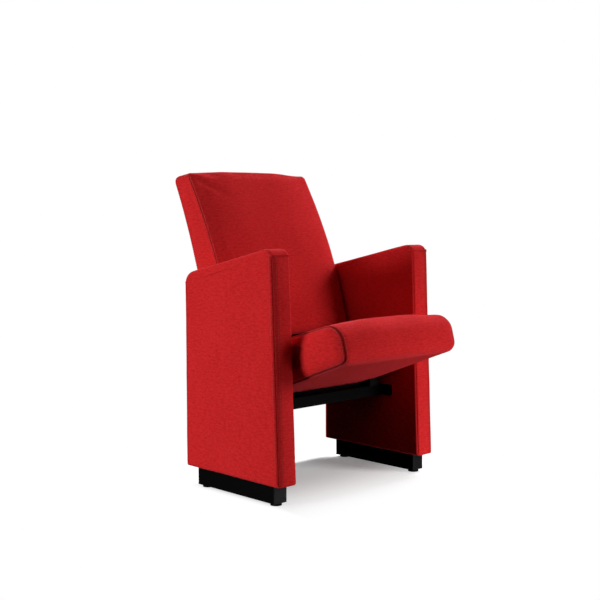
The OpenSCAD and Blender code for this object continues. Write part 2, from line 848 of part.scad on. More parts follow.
module seat_frame() {
    color(raw_steel) placed() difference() {
        seat_frame_shape();
        bar(torsion_tube_radius - seat_arm_thickness / 2, bush_length - seat_arm_outer,
            seat_arm_outer - bush_length, pivot);
        both() bar(pin_radius + bush_wall, seat_arm_outer - bush_length - overrun,
            seat_arm_outer + overrun, pivot);
        seat_rails(-side_tube_wall);
        seat_screws(hole_clearance);
    }
}

// Elastic straps laid over the seat frame's two rails
module seat_webbing() {
    pitch = (2 * seat_arm_inner) / webbing_count;
    half = pitch * webbing_width_share / 2;
    low = seat_board_high + rail;
    color(rubber_black) placed() for (i = [0:webbing_count - 1])
        across([
            seat_point(seat_rail_places[0], low), seat_point(seat_rail_places[1], low),
            seat_point(seat_rail_places[1], low + webbing_thickness),
            seat_point(seat_rail_places[0], low + webbing_thickness)
        ], pitch * (i + 0.5) - seat_arm_inner - half, pitch * (i + 0.5) - seat_arm_inner + half);
}

module seat_board_shape() {
    across([
        seat_point(seat_board_from, seat_board_low), seat_point(seat_board_to, seat_board_low),
        seat_point(seat_board_to, seat_board_high), seat_point(seat_board_from, seat_board_high)
    ], -seat_board_half, seat_board_half);
}

// Screws up through the seat board into the two rails
module seat_screws(grow) {
    for (s = seat_rail_places, share = seat_screw_shares) {
        foot = seat_point(s, seat_board_low);
        translate([share * seat_arm_inner, -foot[0], foot[1]]) rotate([-seat_under_slope, 0, 0]) {
            cylinder(r = screw_head_radius + grow, h = screw_head_height);
            cylinder(r = screw_radius + grow, h = shell_board + side_tube_wall * 2);
        }
    }
}

module seat_board() {
    color(plywood) placed() difference() {
        seat_board_shape();
        seat_screws(hole_clearance);
    }
}

module seat_board_screws() {
    color(raw_steel) placed() seat_screws(0);
}

module seat_form(side) {
    slab(seat_corners, both_sides(seat_half, side));
}

module seat_inner_form() {
    seat_form(foam_side(seat_half, seat_edge, seat_corner, seat_crown, 0));
}

module pin_ways(from, to) {
    both() bar(pin_radius + bush_wall, from, to, pivot);
}

module seat_foam() {
    color(foam_cream) placed() difference() {
        seat_inner_form();
        seat_frame_shape();
        seat_board_shape();
        seat_webbing_room();
        both() bar(pin_radius + bush_wall * 2, seat_arm_outer - overrun, seat_half, pivot);
    }
}

// The straps and the room that they sag into
module seat_webbing_room() {
    low = seat_board_high;
    high = seat_board_high + rail + webbing_thickness;
    across([
        seat_point(seat_rail_places[0], low), seat_point(seat_rail_places[1], low),
        seat_point(seat_rail_places[1], high), seat_point(seat_rail_places[0], high)
    ], -seat_arm_inner, seat_arm_inner);
}

module seat_cover() {
    color(fabric_red) placed() difference() {
        seat_form(sewn_side(seat_half, seat_edge, seat_corner, seat_crown, 0, seat_seam_turn));
        seat_inner_form();
        pin_ways(seat_arm_outer, seat_half + overrun);
    }
}

module back_form(side) {
    slab(back_corners, both_sides(back_half, side));
}

module back_inner_form() {
    back_form(foam_side(back_half, back_edge, back_edge, back_top_crown, back_crown));
}

// A line that follows the backrest's rear face at a distance inside it, from low to high
function back_line(inset, t) = bezier(
    back_low_rear + [inset, board_padding * 3],
    back_rear_knee + [inset, 0],
    back_high_rear + [inset + board_padding, -board_padding * 3], t);
function back_forward(t) =
    let (d = back_line(0, t + line_step_share) - back_line(0, t - line_step_share)) unit([d[1], -d[0]]);
function back_run(inset) = [for (i = [0:curve_steps]) back_line(inset, i / curve_steps)];
function back_rib_front(t) = back_line(board_padding + shell_board, t)
    + back_forward(t) * (back_rib_low_depth + (back_rib_high_depth - back_rib_low_depth) * t);
function reversed(list) = [for (i = [len(list) - 1:-1:0]) list[i]];

// Plywood shell behind the foam
module back_board_shape() {
    across(concat(back_run(board_padding + shell_board), reversed(back_run(board_padding))),
        -back_board_half, back_board_half);
}

// Two wooden ribs that hold the shell, notched over the steel rails
module back_rib_shape() {
    front = [for (i = [0:curve_steps]) back_rib_front(i / curve_steps)];
    both() across(concat(back_run(board_padding + shell_board), reversed(front)),
        back_rib_across - rail / 2, back_rib_across + rail / 2);
}

module back_ribs() {
    color(plywood) placed() difference() {
        back_rib_shape();
        back_rail_bars(0);
        back_screws(hole_clearance);
    }
}

module back_rail_bars(inset) {
    for (p = back_bolt_places)
        block([-back_frame_half, p[0] - rail / 2 + inset, p[1] - rail / 2 + inset],
            [back_frame_half, p[0] + rail / 2 - inset, p[1] + rail / 2 - inset]);
}

// Square steel rails across the back, with a thread plug in each end
module back_rails() {
    color(raw_steel) placed() difference() {
        back_rail_bars(0);
        difference() {
            back_rail_bars(side_tube_wall);
            both() block([back_frame_half - rail, -side_depth, 0],
                [back_half, side_depth, back_top_height]);
        }
        both() for (p = back_bolt_places)
            bar(bolt_radius + hole_clearance, back_frame_half - rail * 2, back_half, p);
    }
}

// Wood screws through the shell into the ribs, square to the shell
module back_screws(grow) {
    both() for (t = back_screw_shares) {
        foot = back_line(board_padding, t);
        out = back_forward(t);
        translate([back_rib_across, -foot[0], foot[1]])
            rotate([90 - atan2(out[1], out[0]), 0, 0]) {
                cylinder(r = screw_head_radius + grow, h = screw_head_height);
                cylinder(r = screw_radius + grow, h = shell_board * 2);
            }
    }
}

module back_board() {
    color(plywood) placed() difference() {
        back_board_shape();
        back_screws(hole_clearance);
    }
}

module back_board_screws() {
    color(raw_steel) placed() back_screws(0);
}

module back_bolt_ways(grow, from, to) {
    both() for (p = back_bolt_places) bar(bolt_radius + grow, from, to, p);
}

module back_foam() {
    color(foam_cream) placed() difference() {
        back_inner_form();
        back_rail_bars(0);
        back_rib_shape();
        back_board_shape();
        back_bolt_ways(hole_clearance, back_frame_half - overrun, back_half);
    }
}

module back_cover() {
    color(fabric_red) placed() difference() {
        back_form(sewn_side(back_half, back_edge, back_edge, back_top_crown, back_crown,
            back_seam_turn));
        back_inner_form();
        back_bolt_ways(hole_clearance, back_frame_half - overrun, back_half + overrun);
    }
}

module back_spacers() {
    color(paint_black) placed() both() for (p = back_bolt_places) difference() {
        bar(boss_radius, back_half, side_inner_face, p);
        bar(bolt_radius + hole_clearance, back_half - overrun, side_inner_face + overrun, p);
    }
}

module back_bolts() {
    color(raw_steel) placed() both() for (p = back_bolt_places) {
        bar(bolt_radius, back_frame_half - rail, side_mid + half_tube + bolt_head_height / 2, p);
        bar(bolt_head_radius, side_mid + half_tube, side_mid + half_tube + bolt_head_height, p);
    }
}

floor_glides();
plinth_left();
plinth_right();
plinth_end_caps();
plinth_bolts();
side_frame_left();
side_frame_right();
outer_board_left();
outer_board_right();
inner_board_left();
inner_board_right();
side_board_screws();
side_padding_left();
side_padding_right();
side_cover_left();
side_cover_right();
cross_beam();
beam_bolts();
stop_buffers();
buffer_screws();
pivot_pin_left();
pivot_pin_right();
pivot_washers();
pivot_bush_left();
pivot_bush_right();
seat_frame();
seat_webbing();
seat_board();
seat_board_screws();
seat_foam();
seat_cover();
back_rails();
back_ribs();
back_board();
back_board_screws();
back_foam();
back_cover();
back_spacers();
back_bolts();
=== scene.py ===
"""Looks of the conference armchair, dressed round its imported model.

Lengths are in metres. An outline is seen from the side as (forward, up) pairs, with forward
counted from the rear edge of the side panels, and +X is the right side as seen from the front.
"""
import logging
import math
from collections.abc import Callable, Iterable, Sequence
from dataclasses import dataclass, field
from enum import Enum

import bmesh
import bpy
import numpy as np
from bpy.types import Material, Mesh, NodeSocket, Object
from mathutils import Matrix, Vector, noise
from mathutils.bvhtree import BVHTree


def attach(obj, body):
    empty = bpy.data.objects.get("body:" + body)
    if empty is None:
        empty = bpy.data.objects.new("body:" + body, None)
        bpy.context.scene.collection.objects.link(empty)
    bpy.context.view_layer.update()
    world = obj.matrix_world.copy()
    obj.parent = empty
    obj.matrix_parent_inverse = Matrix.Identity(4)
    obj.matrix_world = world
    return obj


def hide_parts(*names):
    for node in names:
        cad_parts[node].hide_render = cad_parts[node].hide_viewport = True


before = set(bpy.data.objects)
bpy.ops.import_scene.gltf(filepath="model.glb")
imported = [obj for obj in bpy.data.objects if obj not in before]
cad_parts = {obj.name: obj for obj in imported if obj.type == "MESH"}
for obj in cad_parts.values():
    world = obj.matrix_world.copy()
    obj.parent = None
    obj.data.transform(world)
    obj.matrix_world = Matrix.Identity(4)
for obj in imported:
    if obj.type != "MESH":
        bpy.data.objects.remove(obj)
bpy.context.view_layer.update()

LOG = logging.getLogger("armchair")
DEPTH_MIDDLE = 0.19477
WEAVE_MAP = "weave"
SEAM_SHADE_MARK = "seam"
SEAM_RUN = "seam_run"
STAND = "stand"
SEAT = "seat"
WHITE = (1.0, 1.0, 1.0)
BLACK = (0.0, 0.0, 0.0)
Pair = tuple[float, float]
Triple = tuple[float, float, float]
Array = np.ndarray
Form = bmesh.types.BMesh
BMVert = bmesh.types.BMVert


class Slot(Enum):
    """Names of material slots for red fabric, black paint and black rubber."""

    FABRIC = "red_fabric"
    PAINT = "black_paint"
    RUBBER = "black_rubber"


class Side(Enum):
    """A side of the chair, as seen from the front."""

    LEFT = -1
    RIGHT = 1


# ---------------------------------------------------------------- shader arithmetic


def operator(operation: str, swapped: bool = False) -> Callable[..., "Wire"]:
    """A method of Wire that adds a Math node.

    Args:
        operation: What the node works out.
        swapped: Whether the wire is its second value.

    Returns:
        The method.
    """

    def work(wire: "Wire", other: "Wire | float" = 0.0) -> "Wire":
        """Works it out for the wire and the other value."""
        pair = (other, wire) if swapped else (wire, other)
        return wire.shop.math(operation, *pair)

    return work


class Wire:
    """One value in a material's node tree. Arithmetic on it adds the Math nodes."""

    __add__, __radd__ = operator("ADD"), operator("ADD", True)
    __sub__, __rsub__ = operator("SUBTRACT"), operator("SUBTRACT", True)
    __mul__, __rmul__ = operator("MULTIPLY"), operator("MULTIPLY", True)
    __truediv__, __rtruediv__ = operator("DIVIDE"), operator("DIVIDE", True)
    __mod__ = operator("FLOORED_MODULO")
    sine, floor, fraction = operator("SINE"), operator("FLOOR"), operator("FRACT")
    most = operator("MAXIMUM")

    def __init__(self, shop: "Shop", socket: NodeSocket) -> None:
        """Keeps the socket and the tree that it belongs to."""
        self.shop = shop
        self.socket = socket

    def ramp(self, low: float, high: float) -> "Wire":
        """Smooth step from 0 at low to 1 at high."""
        return self.shop.node(
            "ShaderNodeMapRange",
            {"interpolation_type": "SMOOTHSTEP"},
            {"Value": self, "From Min": low, "From Max": high},
            "Result",
        )


class Shop:
    """A material's node tree, and the one method that adds a node to it."""

    def __init__(self, name: str) -> None:
        """Starts an empty material of that name."""
        self.material = bpy.data.materials.new(name)
        self.material.use_nodes = True
        self.tree = self.material.node_tree
        self.tree.nodes.clear()

    def node(
        self,
        kind: str,
        settings: dict[str, object] | None = None,
        inputs: dict[str | int, object] | None = None,
        output: str | int | None = 0,
    ) -> Wire | None:
        """Adds a node.

        Args:
            kind: The node's type.
            settings: What is set on the node itself; "stops" are a ramp's places and colours.
            inputs: Values or wires of its sockets.
            output: The output that is wanted, or None for a node that ends a tree.

        Returns:
            The wire of that output.
        """
        made = self.tree.nodes.new(kind)
        for key, value in (settings or {}).items():
            if key == "stops":
                elements = made.color_ramp.elements
                while len(elements) < len(value):
                    elements.new(0.5)
                for element, (place, colour) in zip(elements, value):
                    element.position = place
                    element.color = (*colour, 1.0)
            else:
                setattr(made, key, value)
        for key, value in (inputs or {}).items():
            self.plug(made.inputs[key], value)
        return None if output is None else Wire(self, made.outputs[output])

    def plug(self, socket: NodeSocket, value: object) -> None:
        """Links a wire to a socket, or sets the socket's own value."""
        if isinstance(value, Wire):
            self.tree.links.new(value.socket, socket)
        elif isinstance(value, tuple) and socket.type == "RGBA":
            socket.default_value = (*value, 1.0)
        else:
            socket.default_value = value

    def math(self, operation: str, first: object, second: object = 0.0) -> Wire:
        """A Math node."""
        return self.node("ShaderNodeMath", {"operation": operation}, {0: first, 1: second})

    def weighted(self, weights: Sequence[float], *wires: Wire) -> Wire:
        """The sum of the wires, each times its weight."""
        total, *others = (wire * weight for wire, weight in zip(wires, weights))
        for other in others:
            total = total + other
        return total

    def mixed(self, factor: object, first: object, second: object, blend: str = "MIX") -> Wire:
        """A Mix node on two colours."""
        settings = {"data_type": "RGBA", "blend_type": blend}
        return self.node("ShaderNodeMix", settings, {0: factor, 6: first, 7: second}, 2)

    def scaled(self, vector: Wire, factors: Triple) -> Wire:
        """A vector multiplied by three factors."""
        return self.node("ShaderNodeVectorMath", {"operation": "MULTIPLY"}, {0: vector, 1: factors})

    def parts(self, vector: Wire) -> tuple[Wire, Wire, Wire]:
        """The three numbers of a vector."""
        first = self.node("ShaderNodeSeparateXYZ", None, {0: vector})
        outputs = first.socket.node.outputs
        return first, Wire(self, outputs[1]), Wire(self, outputs[2])

    def noise(self, vector: Wire, scale: float, detail: float = 2.0, rough: float = 0.5) -> Wire:
        """A Noise Texture's value."""
        inputs = {"Vector": vector, "Scale": scale, "Detail": detail, "Roughness": rough}
        return self.node("ShaderNodeTexNoise", None, inputs)

    def place(self) -> Wire:
        """Object coordinates."""
        return self.node("ShaderNodeTexCoord", None, None, "Object")

    def bump(self, height: Wire, distance: float, strength: float = 1.0) -> Wire:
        """A normal bent by a height."""
        inputs = {"Height": height, "Distance": distance, "Strength": strength}
        return self.node("ShaderNodeBump", None, inputs)

    def surface(self, **inputs: object) -> Material:
        """Ends the tree in a Principled shader.

        Args:
            inputs: Its sockets, with _ for a space.

        Returns:
            The finished material.
        """
        named = {key.replace("_", " "): value for key, value in inputs.items()}
        return self.end("ShaderNodeBsdfPrincipled", named)

    def end(self, kind: str, inputs: dict[str | int, object]) -> Material:
        """Ends the tree in a shader of that type, and returns the finished material."""
        shader = self.node(kind, None, inputs)
        self.node("ShaderNodeOutputMaterial", None, {"Surface": shader}, None)
        return self.material


# ---------------------------------------------------------------- finishes


@dataclass(frozen=True)
class WovenWool:
    """The red upholstery cloth: a plain weave of slightly uneven wool yarns, with painted shade
    along its seams.
    """

    name: str = "woven_red_wool"
    colour: Triple = (0.60, 0.0165, 0.0180)
    light_yarn: Triple = (0.86, 0.046, 0.048)
    dark_yarn: Triple = (0.22, 0.004, 0.006)
    # seam_shade is the painted shade colour laid into the seams' grooves and onto the rounded
    # corners beside them.
    seam_shade: Triple = (0.035, 0.001, 0.0015)
    yarn: float = 0.0014
    stitch_pitch: float = 0.0066
    drift_scale: float = 55.0
    fibre_scale: float = 2600.0
    slub_scale: float = 620.0
    crepe_scale: float = 330.0
    wrinkle_scale: float = 170.0
    cloud_scale: float = 9.0
    drifts: Pair = (0.9, 0.7)
    slub_stretch: float = 0.16
    crepe_stretch: float = 0.30
    wrinkle_stretch: float = 0.28
    tone_weights: tuple[float, ...] = (0.20, 0.40, 1.1, 0.55, 0.15, 0.25)
    height_weights: tuple[float, ...] = (0.45, 0.4, 0.3, 0.9, -0.9)
    tones: Pair = (0.92, 1.62)
    yarn_share: float = 0.27
    seam_shade_share: float = 0.86
    pucker_shade_share: float = 0.20
    seam_from: float = 0.05
    rough: float = 0.82
    rubbed: float = 0.12
    rubbed_tones: Pair = (0.5, 1.5)
    sheen: float = 0.38
    sheen_rough: float = 0.36
    sheen_tint: Triple = (1.0, 0.22, 0.26)
    relief: Pair = (0.0006, 0.75)

    def make(self) -> Material:
        """Builds the material on the weave map, which is in metres."""
        shop = Shop(self.name)
        cloth = shop.node("ShaderNodeUVMap", {"uv_map": WEAVE_MAP})
        drift = shop.noise(cloth, self.drift_scale)
        across, along, _ = shop.parts(cloth)
        warp = across / self.yarn + drift * self.drifts[0]
        weft = along / self.yarn + drift * self.drifts[1]
        warp_part, weft_part = warp.fraction(), weft.fraction()
        over = (warp.floor() + weft.floor()) % 2.0
        thread = warp_part + (weft_part - warp_part) * over
        run = weft_part + (warp_part - weft_part) * over
        hump = (thread * math.pi).sine() * ((run * math.pi).sine() * 0.5 + 0.5)
        fibre = shop.noise(cloth, self.fibre_scale, 2.0, 0.7)
        down = shop.scaled(cloth, (1.0, self.slub_stretch, 1.0))
        slub_u = shop.noise(down, self.slub_scale, 1.0)
        slub_v, crepe, wrinkle = (
            shop.noise(shop.scaled(cloth, (stretch, 1.0, 1.0)), *look)
            for stretch, *look in (
                (self.slub_stretch, self.slub_scale, 1.0),
                (self.crepe_stretch, self.crepe_scale, 2.0, 0.55),
                (self.wrinkle_stretch, self.wrinkle_scale, 1.0),
            )
        )
        slub = slub_u + (slub_v - slub_u) * over
        cloudy = shop.noise(shop.place(), self.cloud_scale, 3.0)
        tone = shop.weighted(self.tone_weights, hump, slub, crepe, wrinkle, fibre, cloudy)
        yarns = shop.mixed(tone.ramp(*self.tones), self.dark_yarn, self.light_yarn)
        colour = shop.mixed(self.yarn_share, self.colour, yarns)
        # Painted shade: the seam marks darken the cloth towards seam_shade along the seams' grooves
        # and the rounded corners beside them, and the puckers vary that painted shade along the
        # seam. The puckers' bump below is real relief.
        seam = shop.node("ShaderNodeAttribute", {"attribute_name": SEAM_SHADE_MARK}, None, "Fac")
        along_seam = shop.node("ShaderNodeAttribute", {"attribute_name": SEAM_RUN}, None, "Fac")
        pucker = (along_seam * (2 * math.pi / self.stitch_pitch)).sine() * 0.5 + 0.5
        sewn = seam.ramp(self.seam_from, 1.0)
        sewn = sewn * (1 - self.pucker_shade_share + pucker * self.pucker_shade_share)
        colour = shop.mixed(sewn * self.seam_shade_share, colour, self.seam_shade)
        height = shop.weighted(self.height_weights, hump, slub, fibre, crepe, pucker * seam)
        return shop.surface(
            Base_Color=colour,
            Roughness=self.rough - tone.ramp(*self.rubbed_tones) * self.rubbed,
            Specular_IOR_Level=0.0,
            Sheen_Weight=self.sheen,
            Sheen_Roughness=self.sheen_rough,
            Sheen_Tint=self.sheen_tint,
            Normal=shop.bump(height, *self.relief),
        )


class Finish:
    """A finish that lies on Object coordinates.

    Attributes:
        name: The material's name.
        rough: How rough it is where it is smoothest.
        rougher: How much is added where it is roughest.
        relief: The height and the strength of its bump.
    """

    name: str
    rough: float
    rougher: float
    relief: Pair

    def sockets(self, shop: Shop, place: Wire) -> dict[str, object]:
        """What the sockets of its Principled shader get."""
        raise NotImplementedError

    def make(self) -> Material:
        """Builds the material."""
        shop = Shop(self.name)
        return shop.surface(**self.sockets(shop, shop.place()))


@dataclass(frozen=True)
class Thread(Finish):
    """The topstitching thread, twisted and a little darker than the cloth."""

    name: str = "red_thread"
    colour: Triple = (0.33, 0.010, 0.013)
    pale: Triple = (0.62, 0.10, 0.10)
    pale_share: float = 0.7
    twist_scale: float = 900.0
    patch_scale: float = 60.0
    rough: float = 0.55
    rougher: float = 0.1
    sheen: float = 0.2
    relief: Pair = (0.0001, 0.5)

    def sockets(self, shop: Shop, place: Wire) -> dict[str, object]:
        """A twist along the thread."""
        inputs = {"Vector": place, "Scale": self.twist_scale}
        twist = shop.node("ShaderNodeTexWave", {"bands_direction": "DIAGONAL"}, inputs, "Fac")
        paler = twist * shop.noise(place, self.patch_scale) * self.pale_share
        return dict(
            Base_Color=shop.mixed(paler, self.colour, self.pale),
            Roughness=self.rough + twist * self.rougher,
            Sheen_Weight=self.sheen,
            Normal=shop.bump(twist, *self.relief),
        )


@dataclass(frozen=True)
class PowderCoat(Finish):
    """Fine-grained powder coat on steel, rubbed a little brighter in places."""

    name: str = "black_powder_coat"
    colour: Triple = (0.0007, 0.0007, 0.0008)
    worn: Triple = (0.0030, 0.0030, 0.0034)
    grain_scale: float = 900.0
    scuff_scale: float = 24.0
    scuff_stretch: float = 5.0
    scuff_height: float = 0.3
    scuffed: Pair = (0.55, 0.8)
    rough: float = 0.50
    rougher: float = 0.18
    gloss: float = 0.03
    relief: Pair = (0.0002, 0.35)

    def sockets(self, shop: Shop, place: Wire) -> dict[str, object]:
        """An orange-peel bump and scuffs."""
        grain = shop.noise(place, self.grain_scale, 2.0)
        along = shop.scaled(place, (1.0, self.scuff_stretch, self.scuff_stretch))
        scuff = shop.noise(along, self.scuff_scale, 5.0, 0.7)
        return dict(
            Base_Color=shop.mixed(scuff.ramp(*self.scuffed), self.colour, self.worn),
            Roughness=self.rough + scuff * self.rougher,
            Specular_IOR_Level=self.gloss,
            Normal=shop.bump(grain + scuff * self.scuff_height, *self.relief),
        )


@dataclass(frozen=True)
class Moulded(Finish):
    """A moulded black part, plastic or rubber, with a spark-eroded grain and dust."""

    name: str
    colour: Triple
    dust: Triple
    rough: float
    gloss: float = 0.12
    rougher: float = 0.15
    grain_scale: float = 1400.0
    dust_scale: float = 35.0
    dust_share: float = 0.5
    dusted: Pair = (0.5, 0.85)
    relief: Pair = (0.00012, 0.5)

    def sockets(self, shop: Shop, place: Wire) -> dict[str, object]:
        """The grain, with dust on it."""
        grain = shop.noise(place, self.grain_scale, 3.0, 0.6)
        dusty = shop.noise(place, self.dust_scale, 4.0).ramp(*self.dusted)
        return dict(
            Base_Color=shop.mixed(dusty * self.dust_share, self.colour, self.dust),
            Roughness=self.rough + grain * self.rougher,
            Specular_IOR_Level=self.gloss,
            Normal=shop.bump(grain, *self.relief),
        )


PLASTIC_LOOK = ((0.0025, 0.0025, 0.003), (0.01, 0.01, 0.01), 0.5)
RUBBER_LOOK = ((0.003, 0.003, 0.003), (0.012, 0.012, 0.011), 0.8)
NYLON_LOOK = ((0.70, 0.69, 0.64), (0.5, 0.48, 0.44), 0.35, 0.45)


@dataclass(frozen=True)
class DrawnSteel(Finish):
    """Bare zinc-plated steel, with drawing lines and a cloudy sheen."""

    name: str = "plated_steel"
    colour: Triple = (0.46, 0.47, 0.49)
    stain: Triple = (0.26, 0.25, 0.24)
    stained: Pair = (0.45, 0.8)
    line_scale: float = 1500.0
    line_stretch: float = 0.05
    cloud_scale: float = 30.0
    rough: float = 0.28
    rougher: float = 0.2
    relief: Pair = (0.00005, 0.4)

    def sockets(self, shop: Shop, place: Wire) -> dict[str, object]:
        """Drawing lines and stains."""
        along = shop.scaled(place, (self.line_stretch, 1.0, 1.0))
        lines = shop.noise(along, self.line_scale, 2.0)
        cloud = shop.noise(place, self.cloud_scale, 4.0)
        return dict(
            Base_Color=shop.mixed(cloud.ramp(*self.stained), self.colour, self.stain),
            Metallic=1.0,
            Roughness=self.rough + cloud * self.rougher,
            Normal=shop.bump(lines, *self.relief),
        )


@dataclass(frozen=True)
class Plywood(Finish):
    """Birch plywood, with its grain, and its plies where it is cut."""

    name: str = "birch_plywood"
    pale: Triple = (0.62, 0.44, 0.24)
    dark: Triple = (0.34, 0.20, 0.09)
    ply: float = 0.0016
    ply_slant: float = 0.02
    grain_scale: float = 260.0
    grain_stretch: float = 0.06
    tone_weights: Pair = (0.75, 0.25)
    tones: Pair = (0.3, 0.75)
    rough: float = 0.6
    rougher: float = 0.15
    relief: Pair = (0.0002, 0.4)

    def sockets(self, shop: Shop, place: Wire) -> dict[str, object]:
        """The grain and the plies."""
        upward = shop.scaled(place, (1.0, 1.0, self.grain_stretch))
        grain = shop.noise(upward, self.grain_scale, 4.0, 0.65)
        across, along, _ = shop.parts(place)
        plies = (across + along * self.ply_slant) * (2 * math.pi / self.ply)
        tone = shop.weighted(self.tone_weights, grain, plies.sine() * 0.5 + 0.5)
        return dict(
            Base_Color=shop.mixed(tone.ramp(*self.tones), self.dark, self.pale),
            Roughness=self.rough + grain * self.rougher,
            Normal=shop.bump(grain, *self.relief),
        )


# ---------------------------------------------------------------- outlines


@dataclass(frozen=True)
class Corner:
    """A corner of an outline; fine says how much closer the points lie on the line after it."""

    forward: float
    up: float
    radius: float = 0.0
    fine: float = 1.0


@dataclass(frozen=True)
class Sampling:
    """Places on an outline that are the same on every ring of a form."""

    segment: Array
    share: Array


def turned(degrees: float) -> Array:
    """The direction at an angle."""
    return np.array([math.cos(math.radians(degrees)), math.sin(math.radians(degrees))])


def unit(vector: Array) -> Array:
    """The vector at length 1."""
    return vector / np.linalg.norm(vector)


def meet(first: Array, angle: float, second: Array, other_angle: float) -> Array:
    """Where two lines cross, each given by a point and an angle in degrees."""
    run, other = turned(angle), turned(other_angle)
    gap = second - first
    return first + run * (gap[0] * other[1] - gap[1] * other[0]) / (
        run[0] * other[1] - run[1] * other[0]
    )


def bend(first: Array, knee: Array, last: Array, steps: int) -> list[Corner]:
    """The points between the ends of a quadratic curve, as corners."""
    shares = [index / steps for index in range(1, steps)]
    points = [(1 - t) ** 2 * first + 2 * t * (1 - t) * knee + t * t * last for t in shares]
    return [Corner(*point) for point in points]


def eased(value: Array | float, low: float, high: float) -> Array:
    """Smooth step from 0 at low to 1 at high."""
    share = np.clip((np.asarray(value, float) - low) / (high - low), 0.0, 1.0)
    return share * share * (3 - 2 * share)


class Outline:
    """A closed outline of rounded corners, counterclockwise with forward to the right."""

    HALF_ARC = 4
    LEAST_RADIUS = 0.25
    ARC_POINTS = 5

    def __init__(self, corners: Sequence[Corner]) -> None:
        """Keeps the corners."""
        self.corners = list(corners)

    def spots(self) -> Array:
        """The corners' places."""
        return np.array([[corner.forward, corner.up] for corner in self.corners])

    def drawn_in(self, inset: float, front: float, lift: float = 0.0) -> "Outline":
        """The outline moved inwards.

        Args:
            inset: How far, where it doesn't face forward.
            front: How far, where it does.
            lift: How much higher its top then lies.

        Returns:
            The moved outline.
        """
        spots = self.spots()
        ahead = np.roll(spots, -1, 0) - spots
        ahead /= np.linalg.norm(ahead, axis=1)[:, None]
        normal = np.stack([ahead[:, 1], -ahead[:, 0]], 1)
        before = np.roll(normal, 1, 0)
        out = (before + normal) / (1 + (before * normal).sum(1))[:, None]
        forward = out[:, 0] * np.where(out[:, 0] > 0, front, inset)
        up = out[:, 1] * np.where(out[:, 1] > 0, inset - lift, inset)
        moved = []
        for corner, back, down in zip(self.corners, forward, up):
            radius = corner.radius
            if radius > 0:
                radius = max(radius - inset, radius * self.LEAST_RADIUS)
            moved.append(Corner(corner.forward - back, corner.up - down, radius, corner.fine))
        return Outline(moved)

    def polyline(self) -> tuple[Array, list[int]]:
        """The outline's points, and which of them is the middle of each corner."""
        spots = self.spots()
        points: list[Array] = []
        middles: list[int] = []
        count = len(spots)
        for index, corner in enumerate(self.corners):
            if corner.radius <= 0:
                middles.append(len(points))
                points.append(spots[index])
                continue
            to_last = unit(spots[index - 1] - spots[index])
            to_next = unit(spots[(index + 1) % count] - spots[index])
            half = math.acos(float(np.clip(to_last @ to_next, -1, 1))) / 2
            centre = spots[index] + unit(to_last + to_next) * corner.radius / math.sin(half)
            first = spots[index] + to_last * corner.radius / math.tan(half) - centre
            start = math.degrees(math.atan2(first[1], first[0]))
            sweep = 180 - 2 * math.degrees(half)
            middles.append(len(points) + self.HALF_ARC)
            for step in range(2 * self.HALF_ARC + 1):
                angle = start + sweep * step / (2 * self.HALF_ARC)
                points.append(centre + corner.radius * turned(angle))
        return np.array(points), middles

    def weights(self, spacing: float) -> Array:
        """How many times finer each of the polyline's segments is sampled."""
        found: list[float] = []
        for corner in self.corners:
            if corner.radius > 0:
                finer = max(1.0, spacing * self.ARC_POINTS / (corner.radius * math.pi / 2))
                found += [finer] * (2 * self.HALF_ARC)
            found.append(corner.fine)
        return np.array(found)

    def sampling(
        self, patch: tuple[int, int, int, int], cells: tuple[int, int], spacing: float
    ) -> Sampling:
        """Spreads a ring's points over the outline.

        Args:
            patch: The corners that are the corners of the side face's grid.
            cells: How many cells that grid has forward and up.
            spacing: The usual distance of the points.

        Returns:
            The places, the same for every outline drawn in from this one.
        """
        points, middles = self.polyline()
        count = len(points)
        lengths = np.linalg.norm(np.roll(points, -1, 0) - points, axis=1) * self.weights(spacing)
        segments: list[int] = []
        shares: list[float] = []
        for side in range(4):
            start = middles[patch[side]]
            end = middles[patch[(side + 1) % 4]]
            run = [(start + step) % count for step in range((end - start) % count)]
            reach = np.concatenate([[0.0], np.cumsum(lengths[run])])
            steps = cells[side % 2]
            for place in reach[-1] * np.arange(steps) / steps:
                found = min(int(np.searchsorted(reach, place, "right")) - 1, len(run) - 1)
                segments.append(run[found])
                shares.append(float((place - reach[found]) / (reach[found + 1] - reach[found])))
        return Sampling(np.array(segments), np.array(shares))

    def points(self, sampling: Sampling) -> Array:
        """The ring's points on this outline."""
        points, _ = self.polyline()
        following = np.roll(points, -1, 0)
        share = sampling.share[:, None]
        return points[sampling.segment] * (1 - share) + following[sampling.segment] * share


# ---------------------------------------------------------------- padded forms


@dataclass(frozen=True)
class Station:
    """A ring of a padded form.

    Attributes:
        turn: How far round the rolled edge it lies, 0 at the side face and 90 at the band.
        across: How far over the band it lies, from 0 at the edge to 1 at the middle plane.
        border: How far inside the side face's border it lies.
        pull: How far the seam pulls it in.
        seam: How much painted shade of a sewn seam lies on it, from 0 to 1; it also sets how deep
            the seam's puckers are.
        held: Whether the stuffing leaves it where it is.
    """

    turn: float
    across: float = 0.0
    border: float = 0.0
    pull: float = 0.0
    seam: float = 0.0
    held: bool = False


